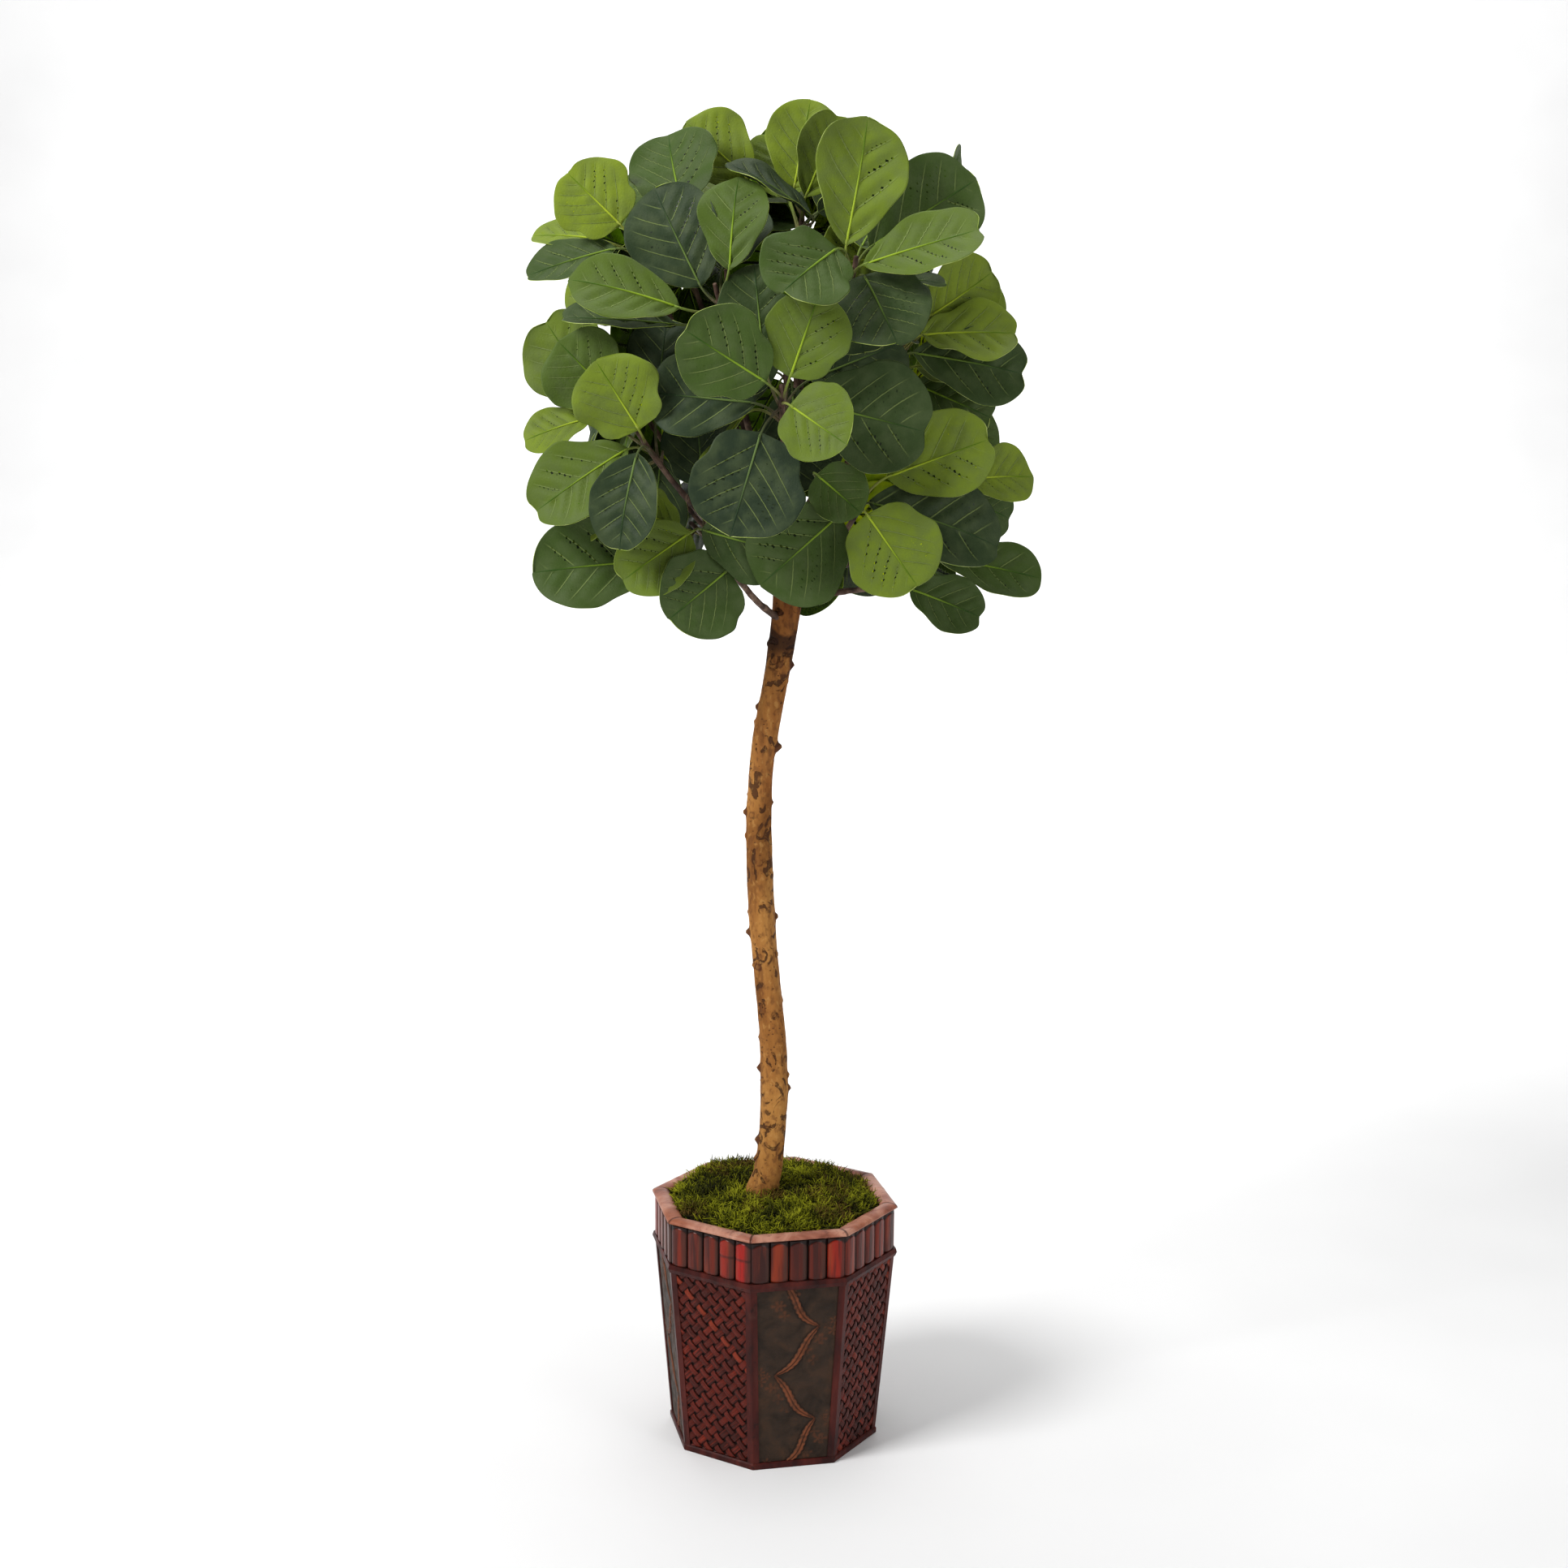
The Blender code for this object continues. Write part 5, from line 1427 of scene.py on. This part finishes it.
def build_carving():
    """A low relief on every second wall: feathers in a zig-zag up the board, with tufts where they turn."""
    finish = carved_finish()
    low, high = WEAVE_LOW, WEAVE_HIGH
    rows, columns = CARVED_ROWS, CARVED_COLUMNS
    z = np.linspace(low, high, rows)[:, None] * np.ones((1, columns))
    t = np.linspace(-1, 1, columns)[None, :] * np.ones((rows, 1))
    out = wall_out(z)
    y = t * (out * tan(HALF_SIDE) - 0.0012)
    tall = high - low
    turns = [(-0.018, 1.04), (0.028, 0.775), (-0.026, 0.505), (0.026, 0.235), (-0.016, -0.03)]
    turns = [(a, low + b * tall) for a, b in turns]
    lobes = np.zeros_like(y)
    cuts = np.zeros_like(y)
    tufts = np.zeros_like(y)
    for number, (start, end) in enumerate(zip(turns, turns[1:])):
        lobe, cut = feather(y, z, start, end, 0.0055 * (1 if number % 2 else -1), 0.0052)
        lobes, cuts = np.maximum(lobes, lobe), np.maximum(cuts, cut)
        for k, (ahead, up) in enumerate(((0.010, 0.0), (0.018, 0.006), (0.017, -0.007))):
            place = (end[0] + ahead * (1 if end[0] > 0 else -1), end[1] + up)
            tufts = np.maximum(tufts, sprig(y, z, place, 0.006 + 0.001 * k, 5))
        between = ((start[0] + end[0]) / 2, (start[1] + end[1]) / 2)
        for k in range(5):
            swing = 0.026 * (1 if end[0] < 0 else -1)
            beside = between[0] + swing * (0.75 + 0.42 * cos(2.4 * k))
            place = (beside, between[1] + 0.016 * sin(2.1 * k + number))
            tufts = np.maximum(tufts, 0.9 * sprig(y, z, place, 0.0085, 4 + k % 2))
    flat = [float(noise.noise(Vector((a * 240, b * 240, 3)))) for a, b in zip(y.flat, z.flat)]
    rough = np.array(flat).reshape(y.shape) * 0.00012
    relief = 0.0012 + 0.0012 * lobes + 0.0006 * tufts - 0.0010 * cuts + rough
    fade = np.minimum((1 - np.abs(t)) * columns, columns) / 3
    relief = relief * np.clip(fade, 0, 1)
    points = np.stack((out + relief, y, z), axis=2).reshape(-1, 3)
    marks = {"feather": lobes.reshape(-1), "cut": cuts.reshape(-1), "sprig": tufts.reshape(-1)}
    for side in range(0, SIDES, 2):
        shell = Shell("feather", "cut", "sprig")
        shell.add(turned(points, side), grid_faces(rows, columns), **marks)
        piece = shell.build(f"carving_{side + 1}", (finish,))
        dress(f"carved_wall_{side + 1}", finish)


ROUND_EDGE, ROUND_FROM = 0.0009, radians(35)


def lacquer_finish():
    made = Finish("lacquered_bamboo", specular=0.14)
    grain = made.noise(60, 5, (1, 1, 0.25), 0.5)
    colour = made.ramp(grain, (0.3, tint(38, 14, 12)), (0.5, tint(64, 22, 18)), (0.7, tint(84, 32, 25)))
    wear = made.noise(24, 4)
    colour = made.wash(colour, wear, 0.55, 0.72, 0.5, tint(84, 50, 42))
    colour = made.wash(colour, made.noise(140, 3), 0.6, 0.72, 0.7, tint(32, 16, 14))
    return made.finish(colour, made.span(wear, 0.3, 0.7, 0.36, 0.56), made.bump(grain, 0.0006))


def build_mouldings():
    """The planter's own strips and boards keep their shape and get rounded edges and a lacquer."""
    lacquer = lacquer_finish()
    posts = [f"corner_post_{k + 1}" for k in range(SIDES)]
    for name in ["bead_moulding", "plinth_moulding", "floor_board", *posts]:
        edges = dress(name, lacquer).modifiers.new("edges", "BEVEL")
        edges.width = ROUND_EDGE
        edges.segments = 3
        edges.limit_method = "ANGLE"
        edges.angle_limit = ROUND_FROM
    dress("soil", soil_finish())


# ---------------------------------------------------------------- stage

CAMERA_PLACE, CAMERA_PITCH, CAMERA_ROLL = Vector((0.0088, -2.811, 1.319)), 0.1737, 0.0074
CAMERA_LENS, SENSOR = 54.1, 36.0
FLOOR_FRONT, FLOOR_BACK, FLOOR_HALF_WIDTH, SWEEP = -6.0, 6.0, 12.0, 3
LAMPS = (  # name, place, target, width and height; the settings hold the power
    ("key", (-2.7, -2.0, 3.4), (0, 0, 1.1), 1.6, 1.6),
    ("fill", (2.8, -2.4, 1.6), (0, 0, 0.9), 2.0, 2.0),
    ("backdrop", (0, 3.2, 4.6), (0, 7.5, 1.2), 4, 2),
    ("top", (0.0, 0.4, 3.6), (0, 0, 1.2), 2.0, 2.0),
)


def add_lamp(name, place, target, width, height, power):
    """A soft lamp at a place, turned to a target."""
    data = bpy.data.lights.new(name, "AREA")
    data.energy, data.shape, data.size, data.size_y = power, "RECTANGLE", width, height
    lamp = bpy.data.objects.new(name, data)
    bpy.context.scene.collection.objects.link(lamp)
    turn = Matrix.Rotation(TREE_TURN, 4, "Z")
    place, target = turn @ Vector(place), turn @ Vector(target)
    look = (target - place).to_track_quat("-Z", "Y").to_matrix().to_4x4()
    lamp.matrix_world = Matrix.Translation(place) @ look


def build_stage(settings):
    """A pale floor that sweeps up behind, soft lamps and the camera."""
    paper = Finish("pale_paper", specular=0.1)
    colour = paper.ramp(paper.noise(2, 2), (0.3, (0.86, 0.86, 0.86)), (0.7, (0.90, 0.90, 0.90)))
    material = paper.finish(colour, 0.9)
    points = []
    profile = [(FLOOR_FRONT, 0.0), (FLOOR_BACK, 0.0)]
    profile += [(FLOOR_BACK + SWEEP * sin(a), SWEEP - SWEEP * cos(a)) for a in np.linspace(0.1, pi / 2, 12)]
    profile.append((9.0, 9.0))
    for y, z in profile:
        points += [(-FLOOR_HALF_WIDTH, y, z), (FLOOR_HALF_WIDTH, y, z)]
    mesh = bpy.data.meshes.new("floor")
    mesh.from_pydata(points, [], grid_faces(len(profile), 2, flip=True))
    mesh.materials.append(material)
    mesh.polygons.foreach_set("use_smooth", [True] * len(mesh.polygons))
    floor = bpy.data.objects.new("floor", mesh)
    floor.rotation_euler = (0, 0, TREE_TURN)
    bpy.context.scene.collection.objects.link(floor)
    bpy.context.scene.view_settings.view_transform = "Standard"
    world = bpy.data.worlds.new("studio")
    bpy.context.scene.world = world
    world.use_nodes = True
    sky = world.node_tree.nodes["Background"]
    sky.inputs["Color"].default_value = (1.0, 1.0, 1.0, 1.0)
    sky.inputs["Strength"].default_value = settings.surround
    for name, *where in LAMPS:
        add_lamp(name, *where, getattr(settings, name))
    data = bpy.data.cameras.new("camera")
    data.lens, data.sensor_width = CAMERA_LENS, SENSOR
    camera = bpy.data.objects.new("camera", data)
    stand = Matrix.Rotation(TREE_TURN, 4, "Z") @ Matrix.Translation(CAMERA_PLACE)
    pitch = Matrix.Rotation(pi / 2 - CAMERA_PITCH, 4, "X")
    camera.matrix_world = stand @ pitch @ Matrix.Rotation(CAMERA_ROLL, 4, "Z")
    bpy.context.scene.collection.objects.link(camera)
    bpy.context.scene.camera = camera


# ---------------------------------------------------------------- add-on

def colour_property(name, description, colour):
    return bpy.props.FloatVectorProperty(
        name=name, description=description, default=colour, subtype="COLOR", min=0.0, max=1.0,
    )


class FigTreeSettings(bpy.types.PropertyGroup):
    """Looks of the tree and the moss."""

    leaf_deep: colour_property("Deep leaf", "Blade colour of the darkest leaves", tint(18, 30, 18))
    leaf_olive: colour_property("Olive leaf", "Blade colour of the middle leaves", tint(29, 46, 4))
    leaf_bright: colour_property("Bright leaf", "Blade colour of the bright leaves", tint(70, 102, 2))
    leaf_lime: colour_property("Lime leaf", "Blade colour of the youngest leaves", tint(172, 190, 6))
    leaf_vein: colour_property("Pale vein", "Raised veins and leaf edges", tint(122, 144, 32))
    # Painted shade in the grooves beside the veins, and the upper midrib's own darker green.
    leaf_groove_shade_and_dark_rib: colour_property("Dark vein", "Sunken lines beside the veins", tint(14, 24, 8))
    leaf_gloss: bpy.props.FloatProperty(
        name="Leaf gloss", description="Strength of the leaves' reflection",
        default=0.06, min=0.0, max=1.0,
    )
    leaf_roughness: bpy.props.FloatProperty(
        name="Leaf roughness", description="How blurred the leaves' reflections are",
        default=0.36, min=0.1, max=0.9,
    )
    old_leaf_gloss: bpy.props.FloatProperty(
        name="Dark leaf gloss", description="Strength of the darkest leaves' reflection",
        default=0.24, min=0.0, max=1.0,
    )
    old_leaf_roughness: bpy.props.FloatProperty(
        name="Dark leaf roughness", description="How blurred the darkest leaves' reflections are",
        default=0.33,
        min=0.1, max=0.9,
    )
    # Dark clumps, with the painted shade at the strands' feet and on the bed.
    moss_dark: colour_property("Dark moss", "Moss in its hollows", tint(56, 60, 8))
    moss_green: colour_property("Green moss", "Most of the moss", tint(108, 110, 12))
    moss_bright: colour_property("Bright moss", "Tips of the moss", tint(156, 158, 32))
    moss_strands: bpy.props.IntProperty(
        name="Moss strands", description="Number of curled strands",
        default=13000, min=500, max=14000,
    )
    seed: bpy.props.IntProperty(name="Seed", description="Sets the small differences", default=4, min=0)


class FigStageSettings(bpy.types.PropertyGroup):
    """Light of the studio."""

    surround: bpy.props.FloatProperty(
        name="Surround", description="Brightness of the white surround",
        default=0.24, min=0.0, max=5.0,
    )
    key: bpy.props.FloatProperty(
        name="Key lamp", description="Power of the lamp at the upper left",
        default=165.0, min=0.0, unit="POWER",
    )
    fill: bpy.props.FloatProperty(
        name="Fill lamp", description="Power of the lamp at the right",
        default=40.0, min=0.0, unit="POWER",
    )
    backdrop: bpy.props.FloatProperty(
        name="Backdrop lamp", description="Power of the lamp on the backdrop",
        default=420.0, min=0.0, unit="POWER",
    )
    top: bpy.props.FloatProperty(
        name="Top lamp", description="Power of the lamp overhead",
        default=40.0, min=0.0, unit="POWER",
    )


class FIG_OT_stage(bpy.types.Operator):
    """Adds the floor, the lamps and the camera"""

    bl_idname = "fig.stage"
    bl_label = "Stage"

    def execute(self, context):
        build_stage(context.scene.fig_stage)
        return {"FINISHED"}


class FIG_OT_trunk(bpy.types.Operator):
    """Adds the trunk's bark with its spurs and scars"""

    bl_idname = "fig.trunk"
    bl_label = "Trunk"

    def execute(self, context):
        build_trunk()
        return {"FINISHED"}


class FIG_OT_sprays(bpy.types.Operator):
    """Adds every spray: its stem, its stalks and its leaves"""

    bl_idname = "fig.sprays"
    bl_label = "Leaf sprays"

    def execute(self, context):
        build_sprays(context.scene.fig_tree)
        return {"FINISHED"}


class FIG_OT_moss(bpy.types.Operator):
    """Adds the bed of curled moss"""

    bl_idname = "fig.moss"
    bl_label = "Moss"

    def execute(self, context):
        build_moss(context.scene.fig_tree)
        return {"FINISHED"}


class FIG_OT_rim(bpy.types.Operator):
    """Adds the eight half-round rails of the rim"""

    bl_idname = "fig.rim"
    bl_label = "Rim rails"

    def execute(self, context):
        build_rim(context.scene.fig_tree)
        return {"FINISHED"}


class FIG_OT_slats(bpy.types.Operator):
    """Adds the band of half-round bamboo slats"""

    bl_idname = "fig.slats"
    bl_label = "Slats"

    def execute(self, context):
        build_slats(context.scene.fig_tree)
        return {"FINISHED"}


class FIG_OT_weave(bpy.types.Operator):
    """Adds the plaited strips of every second wall"""

    bl_idname = "fig.weave"
    bl_label = "Plaited walls"

    def execute(self, context):
        build_weave(context.scene.fig_tree)
        return {"FINISHED"}


class FIG_OT_carving(bpy.types.Operator):
    """Adds the carved relief of the other walls"""

    bl_idname = "fig.carving"
    bl_label = "Carved walls"

    def execute(self, context):
        build_carving()
        return {"FINISHED"}


class FIG_OT_mouldings(bpy.types.Operator):
    """Finishes the posts, the bead, the plinth, the floor board and the soil"""

    bl_idname = "fig.mouldings"
    bl_label = "Mouldings and soil"

    def execute(self, context):
        build_mouldings()
        return {"FINISHED"}


OPERATORS = (
    FIG_OT_stage, FIG_OT_trunk, FIG_OT_sprays, FIG_OT_moss, FIG_OT_rim, FIG_OT_slats, FIG_OT_weave,
    FIG_OT_carving, FIG_OT_mouldings,
)


class FIG_PT_panel(bpy.types.Panel):
    """Lists the fig's settings and pieces"""

    bl_idname = "FIG_PT_panel"
    bl_label = "Fiddle Leaf Fig"
    bl_space_type = "VIEW_3D"
    bl_region_type = "UI"
    bl_category = "Fig"

    def draw(self, context):
        for group in (context.scene.fig_tree, context.scene.fig_stage):
            box = self.layout.box()
            for name in group.__annotations__:
                box.prop(group, name)
        for operator in OPERATORS:
            self.layout.operator(operator.bl_idname)


CLASSES = (FigTreeSettings, FigStageSettings, *OPERATORS, FIG_PT_panel)


def register():
    for made in CLASSES:
        bpy.utils.register_class(made)
    bpy.types.Scene.fig_tree = bpy.props.PointerProperty(type=FigTreeSettings)
    bpy.types.Scene.fig_stage = bpy.props.PointerProperty(type=FigStageSettings)


def unregister():
    del bpy.types.Scene.fig_stage
    del bpy.types.Scene.fig_tree
    for made in reversed(CLASSES):
        bpy.utils.unregister_class(made)


def main():
    register()
    bpy.ops.fig.stage()
    bpy.ops.fig.trunk()
    bpy.ops.fig.sprays()
    bpy.ops.fig.moss()
    bpy.ops.fig.rim()
    bpy.ops.fig.slats()
    bpy.ops.fig.weave()
    bpy.ops.fig.carving()
    bpy.ops.fig.mouldings()


if __name__ == "__main__":
    main()
